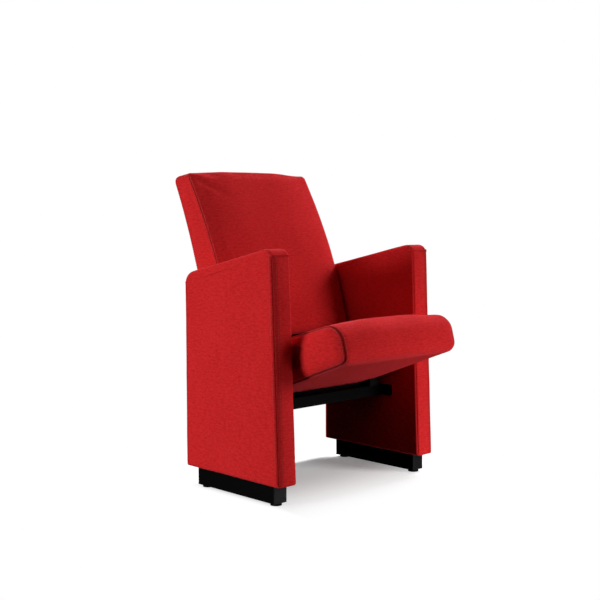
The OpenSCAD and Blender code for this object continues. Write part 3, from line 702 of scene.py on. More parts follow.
@dataclass(frozen=True)
class Stuffing:
    """How the cloth of a piece is blown up, and for how long."""

    LEAST_LIMIT = 1e-6
    LEAST_MOVE = 1e-9

    pressure: float = 4.0
    frames: int = 20
    stiffness: float = 14.0
    shear_share: float = 0.4
    bending: float = 0.35
    mass: float = 0.25
    quality: int = 6

    def swell(self, piece: Object, held: Array, limit: Array) -> None:
        """Runs the cloth and keeps its result in the mesh.

        Args:
            piece: The closed mesh.
            held: The vertices that stay.
            limit: How far each vertex may move.
        """
        group = piece.vertex_groups.new(name="held")
        group.add([int(index) for index in held], 1.0, "REPLACE")
        cloth = piece.modifiers.new("stuffing", "CLOTH")
        chosen = {
            "quality": self.quality,
            "mass": self.mass,
            "tension_stiffness": self.stiffness,
            "compression_stiffness": self.stiffness,
            "shear_stiffness": self.stiffness * self.shear_share,
            "bending_stiffness": self.bending,
            "use_pressure": True,
            "uniform_pressure_force": self.pressure,
            "vertex_group_mass": group.name,
        }
        for key, value in chosen.items():
            setattr(cloth.settings, key, value)
        cloth.settings.effector_weights.gravity = 0.0
        cloth.collision_settings.use_collision = False
        cloth.point_cache.frame_start = 1
        cloth.point_cache.frame_end = self.frames
        scene = bpy.context.scene
        for step in range(1, self.frames + 1):
            scene.frame_set(step)
        graph = bpy.context.evaluated_depsgraph_get()
        blown = read_places(piece.evaluated_get(graph).data)
        piece.modifiers.remove(cloth)
        piece.vertex_groups.clear()
        scene.frame_set(1)
        rest = read_places(piece.data)
        move = blown - rest
        length = np.linalg.norm(move, axis=1)
        bound = limit * np.tanh(length / np.maximum(limit, self.LEAST_LIMIT))
        move *= (bound / np.maximum(length, self.LEAST_MOVE))[:, None]
        write_places(piece.data, rest + move)


def read_places(mesh: Mesh) -> Array:
    """A mesh's vertices as rows of three numbers."""
    places = np.zeros(len(mesh.vertices) * 3, np.float32)
    mesh.vertices.foreach_get("co", places)
    return places.reshape(-1, 3).astype(float)


def write_places(mesh: Mesh, places: Array) -> None:
    """Puts a mesh's vertices at these places."""
    mesh.vertices.foreach_set("co", places.astype(np.float32).ravel())
    mesh.update()


def read_normals(mesh: Mesh) -> Array:
    """The directions in which a mesh's vertices face."""
    normals = np.zeros(len(mesh.vertices) * 3, np.float32)
    mesh.vertex_normals.foreach_get("vector", normals)
    return normals.reshape(-1, 3).astype(float)


def in_place(across: float, point: Sequence[float]) -> Vector:
    """The point in the chair's frame of a place on an outline."""
    return Vector((across, DEPTH_MIDDLE - point[0], point[1]))


def uneven(places: Array, size: float, seed: float) -> Array:
    """Smooth noise about 0 at each place, with waves of about that size."""
    shift = Vector((seed, seed * 0.37, -seed))
    return np.array([noise.noise(Vector(place) / size + shift) for place in places])


def placed(form: Form, name: str) -> Object:
    """Uses up a form and adds it to the scene as a piece of that name."""
    mesh = bpy.data.meshes.new(name)
    form.to_mesh(mesh)
    form.free()
    piece = bpy.data.objects.new(name, mesh)
    bpy.context.scene.collection.objects.link(piece)
    return piece


def dress(piece: Object, material: Material) -> None:
    """Gives a piece one material all over."""
    piece.data.materials.clear()
    piece.data.materials.append(material)


@dataclass(frozen=True)
class Waves:
    """Uneven waves in a cover: their length, their height and where their noise starts."""

    length: float
    height: float
    seed: float

    def over(self, places: Array) -> Array:
        """How far they lift the cloth at each place."""
        return uneven(places, self.length, self.seed) * self.height


@dataclass
class PaddedForm:
    """A padded piece: a band of cloth along an outline, sewn to two side faces.

    Attributes:
        name: The piece's name.
        outline: Its outline from the side.
        patch: The outline's corners that are the corners of the side faces' grid.
        cells: That grid's cells forward and up.
        half: Half its width, from crown to crown.
        stations: Its rings from one side to the middle.
        edge: The rounding of its long edges.
        front: The same where it faces forward.
        middle: Where its middle plane lies across.
        bulge: How far the side faces crown beyond their border.
        lift: The crown of its top across the width.
        swell: The crown of its front across the width.
        spacing: The usual distance of its points.
        waves: The long and the short waves of its cover.
        gives: How far it may swell forwards, backwards and upwards, if it is stuffed.
    """

    RISE = (0.02, 0.60)
    FACES_FRONT = (0.42, 0.95)
    CROWN_POWER = 6
    ROW_GAP = 2.2
    LEAST_GIVE = 0.0002
    CHEEK_GIVE = 0.0014

    name: str
    outline: Outline
    patch: tuple[int, int, int, int]
    cells: tuple[int, int]
    half: float
    stations: list[Station]
    edge: float
    front: float
    middle: float = 0.0
    bulge: float = 0.0010
    lift: float = 0.0
    swell: float = 0.0
    spacing: float = 0.008
    waves: tuple[Waves, ...] = ()
    gives: tuple[float, ...] = ()
    sampling: Sampling = field(init=False)
    base: Array = field(init=False)
    rings: Array = field(init=False)
    outward: Array = field(init=False)
    rolled: Array = field(init=False)

    def __post_init__(self) -> None:
        """Spreads the ring's points over the outline."""
        self.sampling = self.outline.sampling(self.patch, self.cells, self.spacing)
        self.base = self.outline.points(self.sampling)
        run = np.roll(self.base, -1, 0) - np.roll(self.base, 1, 0)
        self.outward = np.column_stack([run[:, 1], -run[:, 0]])
        self.outward /= np.linalg.norm(self.outward, axis=1)[:, None]
        ahead = eased(self.outward[:, 0], *self.FACES_FRONT)
        self.rolled = self.edge + (self.front - self.edge) * ahead

    def pulled(self, station: Station) -> Array:
        """How far a seam pulls in each point of a ring."""
        return np.full(len(self.sampling.share), station.pull)

    def section(self, station: Station) -> Array:
        """A ring as rows of depth, forward and up."""
        turn = math.radians(station.turn)
        rise = float(eased(station.across, *self.RISE))
        moved = self.outline.drawn_in(
            self.edge * (1 - math.sin(turn)) + station.border,
            self.front * (1 - math.sin(turn)) + station.border - self.swell * rise,
            self.lift * rise,
        )
        points = moved.points(self.sampling)
        depth = self.bulge + self.rolled * (1 - math.cos(turn))
        depth += (self.half - self.bulge - self.rolled) * station.across
        pulled = self.pulled(station)
        points -= self.outward * (pulled * math.sin(turn))[:, None]
        return np.column_stack([depth + pulled * math.cos(turn), points])

    def marks(self, station: Station, sign: int) -> Array:
        """How much painted seam shade each point of a ring gets, on the side of that sign."""
        return np.full(len(self.sampling.share), station.seam)

    def deepest(self) -> int:
        """The number of the station with the most painted seam shade, which is where the seam runs.
        """
        return max(range(len(self.stations)), key=lambda k: self.stations[k].seam)

    def border(self) -> dict[tuple[int, int], int]:
        """The numbers on a ring of the cells' corners on the border of the side face's grid."""
        forward, up = self.cells
        spots = [(i, 0) for i in range(forward)] + [(forward, j) for j in range(up)]
        spots += [(i, up) for i in range(forward, 0, -1)] + [(0, j) for j in range(up, 0, -1)]
        return {spot: number for number, spot in enumerate(spots)}

    def side_face(self, form: Form, ring: Array, sign: int) -> list[BMVert]:
        """Lays the grid of a side face into its ring.

        Args:
            form: What it is added to.
            ring: The ring's rows of depth, forward and up.
            sign: -1 for the face towards -X, 1 for the other.

        Returns:
            The border's vertices in the ring's order.
        """
        forward, up = self.cells
        made = bmesh.ops.create_grid(form, x_segments=forward, y_segments=up, size=0.5)
        numbers = self.border()
        low, high = (ring[[numbers[i, j] for i in range(forward + 1)]] for j in (0, up))
        rear, fore = (ring[[numbers[i, j] for j in range(up + 1)]] for i in (0, forward))
        border: list[BMVert] = [None] * len(ring)
        for vertex in made["verts"]:
            s, t = vertex.co.x + 0.5, vertex.co.y + 0.5
            i, j = round(s * forward), round(t * up)
            if (i, j) in numbers:
                border[numbers[i, j]] = vertex
            place = (
                (1 - t) * low[i] + t * high[i] + (1 - s) * rear[j] + s * fore[j]
                - (1 - s) * (1 - t) * low[0] - s * (1 - t) * low[-1]
                - (1 - s) * t * high[0] - s * t * high[-1]
            )
            crown = (1 - (2 * s - 1) ** self.CROWN_POWER) * (1 - (2 * t - 1) ** self.CROWN_POWER)
            crown *= self.bulge
            across = self.middle + sign * (self.half - place[0] + crown)
            vertex.co = in_place(across, place[1:])
        return border

    def build(self) -> Object:
        """Builds the closed mesh, with its weave map and its seam marks, which say where the
        painted seam shade lies.
        """
        form = bmesh.new()
        sections = [self.section(station) for station in self.stations]
        marks = [self.marks(station, -1) for station in self.stations]
        marks += [self.marks(station, 1) for station in reversed(self.stations)]
        rings = [self.side_face(form, sections[0], -1)]
        sides = list(form.faces)
        everything = list(zip([-1] * len(sections), sections)) + [
            (1, section) for section in reversed(sections)
        ]
        for sign, section in everything[1:]:
            last = rings[-1]
            edges = [form.edges.get((last[i - 1], last[i])) for i in range(len(last))]
            made = bmesh.ops.extrude_edge_only(form, edges=edges)
            fresh = {item for item in made["geom"] if isinstance(item, BMVert)}
            ring = []
            for vertex, (depth, forward, up) in zip(last, section):
                (outer,) = [
                    edge.other_vert(vertex)
                    for edge in vertex.link_edges
                    if edge.other_vert(vertex) in fresh
                ]
                outer.co = in_place(self.middle + sign * (self.half - depth), (forward, up))
                ring.append(outer)
            rings.append(ring)
        before = set(form.faces)
        border = self.side_face(form, sections[0], 1)
        sides += [face for face in form.faces if face not in before]
        bmesh.ops.weld_verts(form, targetmap=dict(zip(border, rings[-1])))
        form.verts.index_update()
        self.rings = np.array([[vertex.index for vertex in ring] for ring in rings])
        self.lay_weave(form, rings, set(face for face in sides if face.is_valid))
        bmesh.ops.recalc_face_normals(form, faces=form.faces)
        for face in form.faces:
            face.smooth = True
        piece = placed(form, self.name)
        steps = np.linalg.norm(np.diff(self.base, axis=0), axis=1)
        along = np.concatenate([[0.0], np.cumsum(steps)])
        for name, rows in ((SEAM_SHADE_MARK, marks), (SEAM_RUN, [along] * len(rings))):
            values = np.zeros(len(piece.data.vertices), np.float32)
            for ring, row in zip(self.rings, rows):
                values[ring] = row
            mark = piece.data.attributes.new(name, "FLOAT", "POINT")
            mark.data.foreach_set("value", values)
        return piece

    def lay_weave(self, form: Form, rings: list, sides: set) -> None:
        """Maps the cloth: flat on the side faces, and across and along on the band."""
        layer = form.loops.layers.uv.new(WEAVE_MAP)
        numbers = {vertex: (k, i) for k, ring in enumerate(rings) for i, vertex in enumerate(ring)}
        steps = np.linalg.norm(np.roll(self.base, -1, 0) - self.base, axis=1)
        along = np.concatenate([[0.0], np.cumsum(steps)])
        places = np.array([[vertex.co[:] for vertex in ring] for ring in rings])
        widths = np.linalg.norm(places[1:] - places[:-1], axis=2).mean(1)
        across = np.concatenate([[0.0], np.cumsum(widths)])
        count = len(self.base)
        last_seam = self.deepest()
        for face in form.faces:
            found = [numbers.get(loop.vert) for loop in face.loops]
            flat = None in found or max(k for k, _ in found) <= last_seam
            flat = flat or min(k for k, _ in found) >= len(rings) - 1 - last_seam
            wraps = not flat and {i for _, i in found} == {0, count - 1}
            for loop, number in zip(face.loops, found):
                if flat or number is None:
                    loop[layer].uv = (loop.vert.co.y, loop.vert.co.z)
                else:
                    k, i = number
                    loop[layer].uv = (across[k], along[count if wraps and i == 0 else i])

    def held_rings(self) -> Array:
        """The vertices of the rings that the stuffing leaves where they are."""
        count = len(self.stations)
        kept = [k for k, station in enumerate(self.stations) if station.held]
        rows = kept + [2 * count - 1 - k for k in kept]
        return self.rings[rows].ravel()

    def track(self, index: float, start: int, end: int, sign: int) -> list[Vector]:
        """A line along the cloth for a row of stitches.

        Args:
            index: The ring, between two stations where it isn't whole.
            start: The first point's number on the ring.
            end: The last point's.
            sign: The side, -1 or 1.

        Returns:
            The line's points before the stuffing.
        """
        low = int(index)
        share = index - low
        ring = self.section(self.stations[low]) * (1 - share)
        if share:
            ring = ring + self.section(self.stations[low + 1]) * share
        count = len(ring)
        return [
            in_place(self.middle + sign * (self.half - ring[i % count][0]), ring[i % count][1:])
            for i in range(start, end + 1)
        ]

    def seam_tracks(self) -> list[list[Vector]]:
        """The double rows of stitches that follow the cheeks' seams all the way round."""
        seam, count = self.deepest(), len(self.sampling.share)
        rows = (seam - self.ROW_GAP, seam + self.ROW_GAP)
        return [self.track(row, 0, count, sign) for row in rows for sign in (-1, 1)]

    def limits(self, places: Array, normals: Array) -> Array:
        """How far the stuffing may move each vertex, by where it faces and lies."""
        faces = (-normals[:, 1], normals[:, 1], normals[:, 2])
        most = np.max([np.clip(face, 0, 1) * give for face, give in zip(faces, self.gives)], 0)
        cheek = np.abs(normals[:, 0]) * self.CHEEK_GIVE
        return self.LEAST_GIVE + most * self.softness(places) + cheek

    def softness(self, places: Array) -> Array | float:
        """How soft the piece is at each vertex, from 0 to 1."""
        return 1.0

    def looseness(self, normals: Array) -> Array | float:
        """How freely the cover waves at each vertex, from 0 to 1."""
        return 1.0

    def upholster(self, cloth: Material) -> Object:
        """Builds the piece, stuffs and smooths it, lays its waves and dresses it."""
        piece = self.build()
        if self.gives:
            limits = self.limits(read_places(piece.data), read_normals(piece.data))
            Stuffing().swell(piece, self.held_rings(), limits)
        subdivided(piece)
        places, normals = read_places(piece.data), read_normals(piece.data)
        lift = sum(waves.over(places) for waves in self.waves) * self.looseness(normals)
        write_places(piece.data, places + normals * lift[:, None])
        dress(piece, cloth)
        LOG.info("%s: %d faces", piece.name, len(piece.data.polygons))
        return piece


def subdivided(piece: Object, levels: int = 1) -> None:
    """Smooths a piece with a subdivision that is applied."""
    modifier = piece.modifiers.new("smooth", "SUBSURF")
    modifier.levels = modifier.render_levels = levels
    graph = bpy.context.evaluated_depsgraph_get()
    mesh = bpy.data.meshes.new_from_object(piece.evaluated_get(graph))
    piece.modifiers.remove(modifier)
    old = piece.data
    piece.data = mesh
    name = old.name
    bpy.data.meshes.remove(old)
    mesh.name = name


@dataclass(frozen=True)
class Topstitch:
    """A row of topstitching: its pitch, the length of a stitch and the thread."""

    pitch: float = 0.0066
    length: float = 0.0048
    thread: float = 0.0011
    sink: float = 0.00012
    sunk_share: float = 0.25

    def sew(
        self,
        name: str,
        cloth: Object,
        tracks: Iterable[list[Vector]],
        material: Material,
    ) -> Object:
        """Lays the stitches of several rows on a piece.

        Args:
            name: The new piece's name.
            cloth: What they lie on.
            tracks: The rows' lines.
            material: The thread's finish.

        Returns:
            All the stitches as one piece.
        """
        ground = bmesh.new()
        ground.from_mesh(cloth.data)
        tree = BVHTree.FromBMesh(ground)
        ground.free()
        form = bmesh.new()
        height = self.thread / 2 - self.sink - self.thread * self.sunk_share
        for track in tracks:
            places = np.array([point[:] for point in track])
            steps = np.linalg.norm(np.diff(places, axis=0), axis=1)
            reach = np.concatenate([[0], np.cumsum(steps)])
            count = int((reach[-1] - self.length) / self.pitch) + 1
            for index in range(count):
                ends = []
                for place in (index * self.pitch, index * self.pitch + self.length):
                    spot = [float(np.interp(place, reach, places[:, axis])) for axis in range(3)]
                    found, normal, _, _ = tree.find_nearest(Vector(spot))
                    ends.append(found + normal * height)
                run = ends[1] - ends[0]
                turn = run.to_track_quat("X", "Z").to_matrix().to_4x4()
                size = Matrix.Diagonal((run.length + self.thread, self.thread, self.thread, 1.0))
                middle = Matrix.Translation((ends[0] + ends[1]) / 2)
                bmesh.ops.create_icosphere(
                    form, subdivisions=1, radius=0.5, matrix=middle @ turn @ size
                )
        for face in form.faces:
            face.smooth = True
        piece = placed(form, name)
        dress(piece, material)
        LOG.info("%s: %d faces", piece.name, len(piece.data.polygons))
        return piece


# ---------------------------------------------------------------- sub-assemblies


@dataclass
class Wardrobe:
    """The finishes that the sub-assemblies share, each made once."""

    cloth: Material
    thread: Material

    @classmethod
    def filled(cls) -> "Wardrobe":
        """Makes every shared finish."""
        return cls(WovenWool().make(), Thread().make())


@dataclass
class SidePanel(PaddedForm):
    """One upholstered side panel, with a strip let in along its front and rear edges."""

    THICKNESS = 0.067
    DEPTH = 0.379
    SETBACK = 0.024
    FOOT = 0.054
    REAR_HEIGHT = 0.587
    SLOPE = 12.5
    FRONT_RADIUS = 0.028
    REAR_RADIUS = 0.041
    FOOT_RADIUS = 0.006
    EDGE = 0.0085
    CROWN = 0.0008
    CENTRE = 0.271
    END_SEAM = 0.642
    REAR_END_SEAM = 0.560
    GROOVE = 0.0030
    GROOVE_WIDTH = 0.0028
    END_PULL = 0.8
    STRIP_CROWN = 0.0011
    HALF_SEAM = 0.005
    SEAM_SLACK = 0.0005
    FOOT_FADE = 0.006
    EDGES_FROM = (0.8, 0.2)
    EDGE_MIDDLE = 45
    CROWNED_BY = 0.7
    TRACKS = (1.0, 9.5)

    @classmethod
    def of(cls, side: Side) -> "SidePanel":
        """The panel of one side, before it is built."""
        top_front = cls.DEPTH - cls.SETBACK
        top = cls.REAR_HEIGHT + top_front * math.tan(math.radians(cls.SLOPE))
        lean = cls.SETBACK / (top - cls.FOOT)
        seam = [cls.END_SEAM - cls.HALF_SEAM, cls.END_SEAM + cls.HALF_SEAM]
        rear = [cls.REAR_END_SEAM + cls.HALF_SEAM, cls.REAR_END_SEAM - cls.HALF_SEAM]
        corners = [
            Corner(0, cls.FOOT, cls.FOOT_RADIUS),
            Corner(cls.DEPTH, cls.FOOT, cls.FOOT_RADIUS),
            Corner(cls.DEPTH - lean * (seam[0] - cls.FOOT), seam[0], 0.0, 6.0),
            Corner(cls.DEPTH - lean * (seam[1] - cls.FOOT), seam[1]),
            Corner(top_front, top, cls.FRONT_RADIUS),
            Corner(0, cls.REAR_HEIGHT, cls.REAR_RADIUS),
            Corner(0, rear[0], 0.0, 6.0),
            Corner(0, rear[1]),
        ]
        return cls(
            name=f"side_upholstery_{side.name.lower()}",
            outline=Outline(corners),
            patch=(0, 1, 4, 5),
            cells=(46, 76),
            half=cls.THICKNESS / 2,
            middle=side.value * cls.CENTRE,
            stations=cls.edge_stations(),
            bulge=cls.CROWN,
            edge=cls.EDGE,
            front=cls.EDGE,
            waves=(Waves(0.11, 0.0007, 3.0 + side.value), Waves(0.035, 0.00025, 8.0 + side.value)),
        )

    @classmethod
    def edge_stations(cls) -> list[Station]:
        """The rolled edge with the seam in its middle, and the middle of the band."""
        rows = (
            # The last number of each row, and the second of each band pair, is painted shade: it
            # darkens the seam's groove and the rounded front corner beside it.
            (0, 0.007, -0.0001, 0.05), (0, 0.0025, -0.0004, 0.18), (6, 0.0, -0.0004, 0.28),
            (26, 0.0, 0.0001, 0.36), (38, 0.0, 0.0010, 0.46), (45, 0.0, 0.0022, 0.74),
            (52, 0.0, 0.0011, 0.50), (64, 0.0, 0.0003, 0.44), (84, 0.0, -0.0003, 0.40),
        )
        found = [Station(turn, 0.0, border, pull, seam) for turn, border, pull, seam in rows]
        band = ((0.14, 0.42), (0.34, 0.30), (0.56, 0.06), (0.84, 0.0))
        return found + [Station(90, share, seam=seam) for share, seam in band]

    def ends(self) -> Iterable[tuple[Array, float]]:
        """Where along the ring the front and the rear edge lie, each with its end seam's height."""
        forward = self.base[:, 0]
        front, rear = (self.DEPTH * share for share in self.EDGES_FROM)
        return (forward > front, self.END_SEAM), (forward < rear, self.REAR_END_SEAM)

    def sewn_share(self) -> Array:
        """Where along the ring the let-in strips' seams run, from 0 to 1."""
        up = self.base[:, 1]
        front, rear = (edge & (up < seam + self.SEAM_SLACK) for edge, seam in self.ends())
        return (front | rear) * eased(up, self.FOOT, self.FOOT + self.FOOT_FADE)

    def end_share(self) -> Array:
        """Where along the ring the strips' end seams lie, from 0 to 1."""
        up = self.base[:, 1]
        return sum(
            edge * np.exp(-(((up - seam) / self.GROOVE_WIDTH) ** 2)) for edge, seam in self.ends()
        )

    def pulled(self, station: Station) -> Array:
        """The pull of the strips' seams, less the crown of the strips between them."""
        sewn = self.sewn_share()
        pull = sewn * station.pull
        if station.turn > self.EDGE_MIDDLE:
            middle = float(eased(station.across, 0.0, self.CROWNED_BY))
            pull = pull - sewn * self.STRIP_CROWN * middle
            pull = pull + self.end_share() * self.GROOVE * self.END_PULL
        return pull

    def marks(self, station: Station, sign: int) -> Array:
        """The painted shade of the seams, along the outer edges and across the strips' ends."""
        end = self.end_share() * (station.turn > self.EDGE_MIDDLE)
        outer = sign * self.middle > 0
        return np.maximum(station.seam * self.sewn_share() * outer, end)

    def tracks(self) -> list[list[Vector]]:
        """The double rows of stitches along the strips' outer edges."""
        sewn = self.sewn_share() > 0.5
        runs = [np.flatnonzero(sewn & edge) for edge, _ in self.ends()]
        sign = 1 if self.middle > 0 else -1
        return [
            self.track(index, int(run[0]), int(run[-1]), sign)
            for run in runs
            for index in self.TRACKS
        ]

    def finish(self, wardrobe: Wardrobe, side: Side) -> None:
        """Builds, shapes and dresses the panel, and puts it in the frame."""
        piece = self.upholster(wardrobe.cloth)
        suffix = side.name.lower()
        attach(piece, STAND)
        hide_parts(f"side_cover_{suffix}", f"side_padding_{suffix}")
        name = f"side_stitches_{suffix}"
        stitches = Topstitch().sew(name, piece, self.tracks(), wardrobe.thread)
        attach(stitches, STAND)


BORDERS = (0.010, 0.006, 0.0025)
LEAD_SHARES = (0.0, 0.35, 0.7)
LEAD_GAP = 18
LIGHT_PULL = 0.4


def sewn_stations(seam_turn: float, dark: float, count: int = 23) -> list[Station]:
    """The rings of a cushion with sewn cheeks.

    Args:
        seam_turn: How far round the rolled edge the seam lies, in degrees.
        dark: How much painted shade the seam gets, and partly how deep it is pulled, from 0 to 1.
        count: How many rings the band has from the rolled edge to the middle plane.

    Returns:
        The rings from the side to the middle.
    """
    before = [Station(0, 0.0, border, held=border == BORDERS[0]) for border in BORDERS]
    # Each row: the turn from the seam, the pull, the painted seam shade, and whether the stuffing
    # holds it.
    rows = (
        (-16, -0.0003, 0.08, False), (-9, -0.0006, 0.42, True), (-4, 0.0010, 0.7, True),
        (0, 0.0030, 1.0, True), (4, 0.0012, 0.7, True), (9, -0.0005, 0.42, True),
        (16, -0.0003, 0.08, False),
    )
    lead = [seam_turn * share for share in LEAD_SHARES if seam_turn * (1 - share) > LEAD_GAP]
    found = before + [Station(turn) for turn in lead]
    depth = LIGHT_PULL + (1 - LIGHT_PULL) * dark
    found += [
        Station(max(seam_turn + step, 0.0), 0.0, 0.0, pull * depth, seam * dark, held)
        for step, pull, seam, held in rows
    ]
    last = found[-1].turn
    found += [Station(last + (90 - last) * share) for share in (0.25, 0.5, 0.75, 1.0)]
    return found + [Station(90, index / (count + 0.5)) for index in range(1, count + 1)]


@dataclass
class SeatCushion(PaddedForm):
    """The tip-up seat: a tapered cushion with sewn cheeks and a round rear end."""

    HALF = 0.230
    REACH = 0.535
    PIVOT = np.array([0.180, 0.314])
    REAR_RADIUS = 0.0629
    TOP_SLOPE = 17.3
    UNDER_SLOPE = 20.4
    NOSE_LEAN = 14.0
    NOSE_TOP = 0.049
    NOSE_LOW = 0.026
    EDGE = 0.031
    CROWN = 0.006
    SWELL = 0.001
    BOW = 0.0045
    SEAM_TURN = 60.0
    SEAM_SHADE_AND_PULL = 0.85
    REAR_STEPS = 16
    BOW_STEPS = 10
    REAR_SHARE = 0.15
    AHEAD = (0.17, 0.25)
    LOOSE = (-0.4, 0.3)

    @classmethod
    def made(cls) -> "SeatCushion":
        """The seat, before it is built."""
        low = meet(
            cls.PIVOT + cls.REAR_RADIUS * turned(cls.UNDER_SLOPE - 90), cls.UNDER_SLOPE,
            np.array([cls.REACH, 0.0]), 90.0,
        )
        rear_top = cls.PIVOT + cls.REAR_RADIUS * turned(cls.TOP_SLOPE + 90)
        top = meet(rear_top, cls.TOP_SLOPE, low, 90.0 + cls.NOSE_LEAN)
        sweep = 180 + cls.UNDER_SLOPE - cls.TOP_SLOPE
        corners = []
        for step in range(cls.REAR_STEPS + 1):
            angle = cls.TOP_SLOPE + 90 + sweep * step / cls.REAR_STEPS
            corners.append(Corner(*(cls.PIVOT + cls.REAR_RADIUS * turned(angle))))
        corners += [Corner(*low, cls.NOSE_LOW), Corner(*top, cls.NOSE_TOP)]
        knee = (top + rear_top) / 2 + turned(cls.TOP_SLOPE + 90) * cls.BOW * 2
        corners += bend(top, knee, rear_top, cls.BOW_STEPS)[1:]
        quarter = cls.REAR_STEPS // 4
        return cls(
            name="seat_upholstery",
            outline=Outline(corners),
            patch=(3 * quarter, cls.REAR_STEPS + 1, cls.REAR_STEPS + 2, quarter),
            cells=(54, 15),
            half=cls.HALF,
            stations=sewn_stations(cls.SEAM_TURN, cls.SEAM_SHADE_AND_PULL),
            edge=cls.EDGE,
            front=cls.EDGE,
            lift=cls.CROWN,
            swell=cls.SWELL,
            waves=(Waves(0.09, 0.0009, 11.0), Waves(0.03, 0.0003, 12.0)),
            gives=(0.0030, 0.0, 0.0045),
        )

    def softness(self, places: Array) -> Array:
        """The seat is soft ahead of the back's lower edge, and firm behind it."""
        ahead = eased(DEPTH_MIDDLE - places[:, 1], *self.AHEAD)
        return self.REAR_SHARE + (1 - self.REAR_SHARE) * ahead

    def looseness(self, normals: Array) -> Array:
        """The seat's cover waves freely on its top alone."""
        return eased(normals[:, 2], *self.LOOSE)

    def finish(self, wardrobe: Wardrobe) -> None:
        """Builds, stuffs, shapes and dresses the seat, and puts it in the frame."""
        piece = self.upholster(wardrobe.cloth)
        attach(piece, SEAT)
        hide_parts("seat_cover", "seat_foam")
        stitches = Topstitch().sew("seat_stitches", piece, self.seam_tracks(), wardrobe.thread)
        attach(stitches, SEAT)


@dataclass
class Backrest(PaddedForm):
    """The fixed back: a curved, tapered cushion with sewn cheeks."""

    HALF = 0.229
    LOW_FRONT = np.array([0.120, 0.400])
    LOW_THICKNESS = 0.124
    HIGH_FRONT = np.array([-0.071, 0.867])
    HIGH_THICKNESS = 0.0775
    TOP_DROP = 0.0135
    FRONT_LEANS = (11.0, 32.0)
    REAR_LEANS = (6.0, 25.0)
    TOP_RADIUS = 0.018
    LOW_RADIUS = 0.024
    EDGE = 0.0128
    CORNER = 0.0158
    CROWN = 0.006
    SWELL = 0.005
    SEAM_TURN = 27.0
    SEAM_SHADE_AND_PULL = 0.42
    STEPS = 18
    ABOVE = (0.40, 0.50)

    @classmethod
    def made(cls) -> "Backrest":
        """The backrest, before it is built."""
        low_rear = cls.LOW_FRONT - np.array([cls.LOW_THICKNESS, 0.0])
        high_rear = cls.HIGH_FRONT - np.array([cls.HIGH_THICKNESS, cls.TOP_DROP])
        front_knee = meet(
            cls.LOW_FRONT, 90 + cls.FRONT_LEANS[0], cls.HIGH_FRONT, 90 + cls.FRONT_LEANS[1]
        )
        rear_knee = meet(low_rear, 90 + cls.REAR_LEANS[0], high_rear, 90 + cls.REAR_LEANS[1])
        corners = [Corner(*low_rear, cls.LOW_RADIUS), Corner(*cls.LOW_FRONT, cls.LOW_RADIUS)]
        corners += bend(cls.LOW_FRONT, front_knee, cls.HIGH_FRONT, cls.STEPS)
        high = len(corners)
        corners += [Corner(*cls.HIGH_FRONT, cls.TOP_RADIUS), Corner(*high_rear, cls.TOP_RADIUS)]
        corners += bend(high_rear, rear_knee, low_rear, cls.STEPS)
        return cls(
            name="back_upholstery",
            outline=Outline(corners),
            patch=(0, 1, high, high + 1),
            cells=(15, 62),
            half=cls.HALF,
            stations=sewn_stations(cls.SEAM_TURN, cls.SEAM_SHADE_AND_PULL),
            edge=cls.EDGE,
            front=cls.CORNER,
            lift=cls.CROWN,
            swell=cls.SWELL,
            waves=(Waves(0.10, 0.0010, 21.0), Waves(0.03, 0.0003, 22.0)),
            gives=(0.0040, 0.0020, 0.0015),
        )

    def softness(self, places: Array) -> Array:
        """The back is firm along its lower edge."""
        return eased(places[:, 2], *self.ABOVE)

    def finish(self, wardrobe: Wardrobe) -> None:
        """Builds, stuffs, shapes and dresses the backrest, and puts it in the frame."""
        piece = self.upholster(wardrobe.cloth)
        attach(piece, STAND)
        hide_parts("back_cover", "back_foam")
        stitches = Topstitch().sew("back_stitches", piece, self.seam_tracks(), wardrobe.thread)
        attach(stitches, STAND)


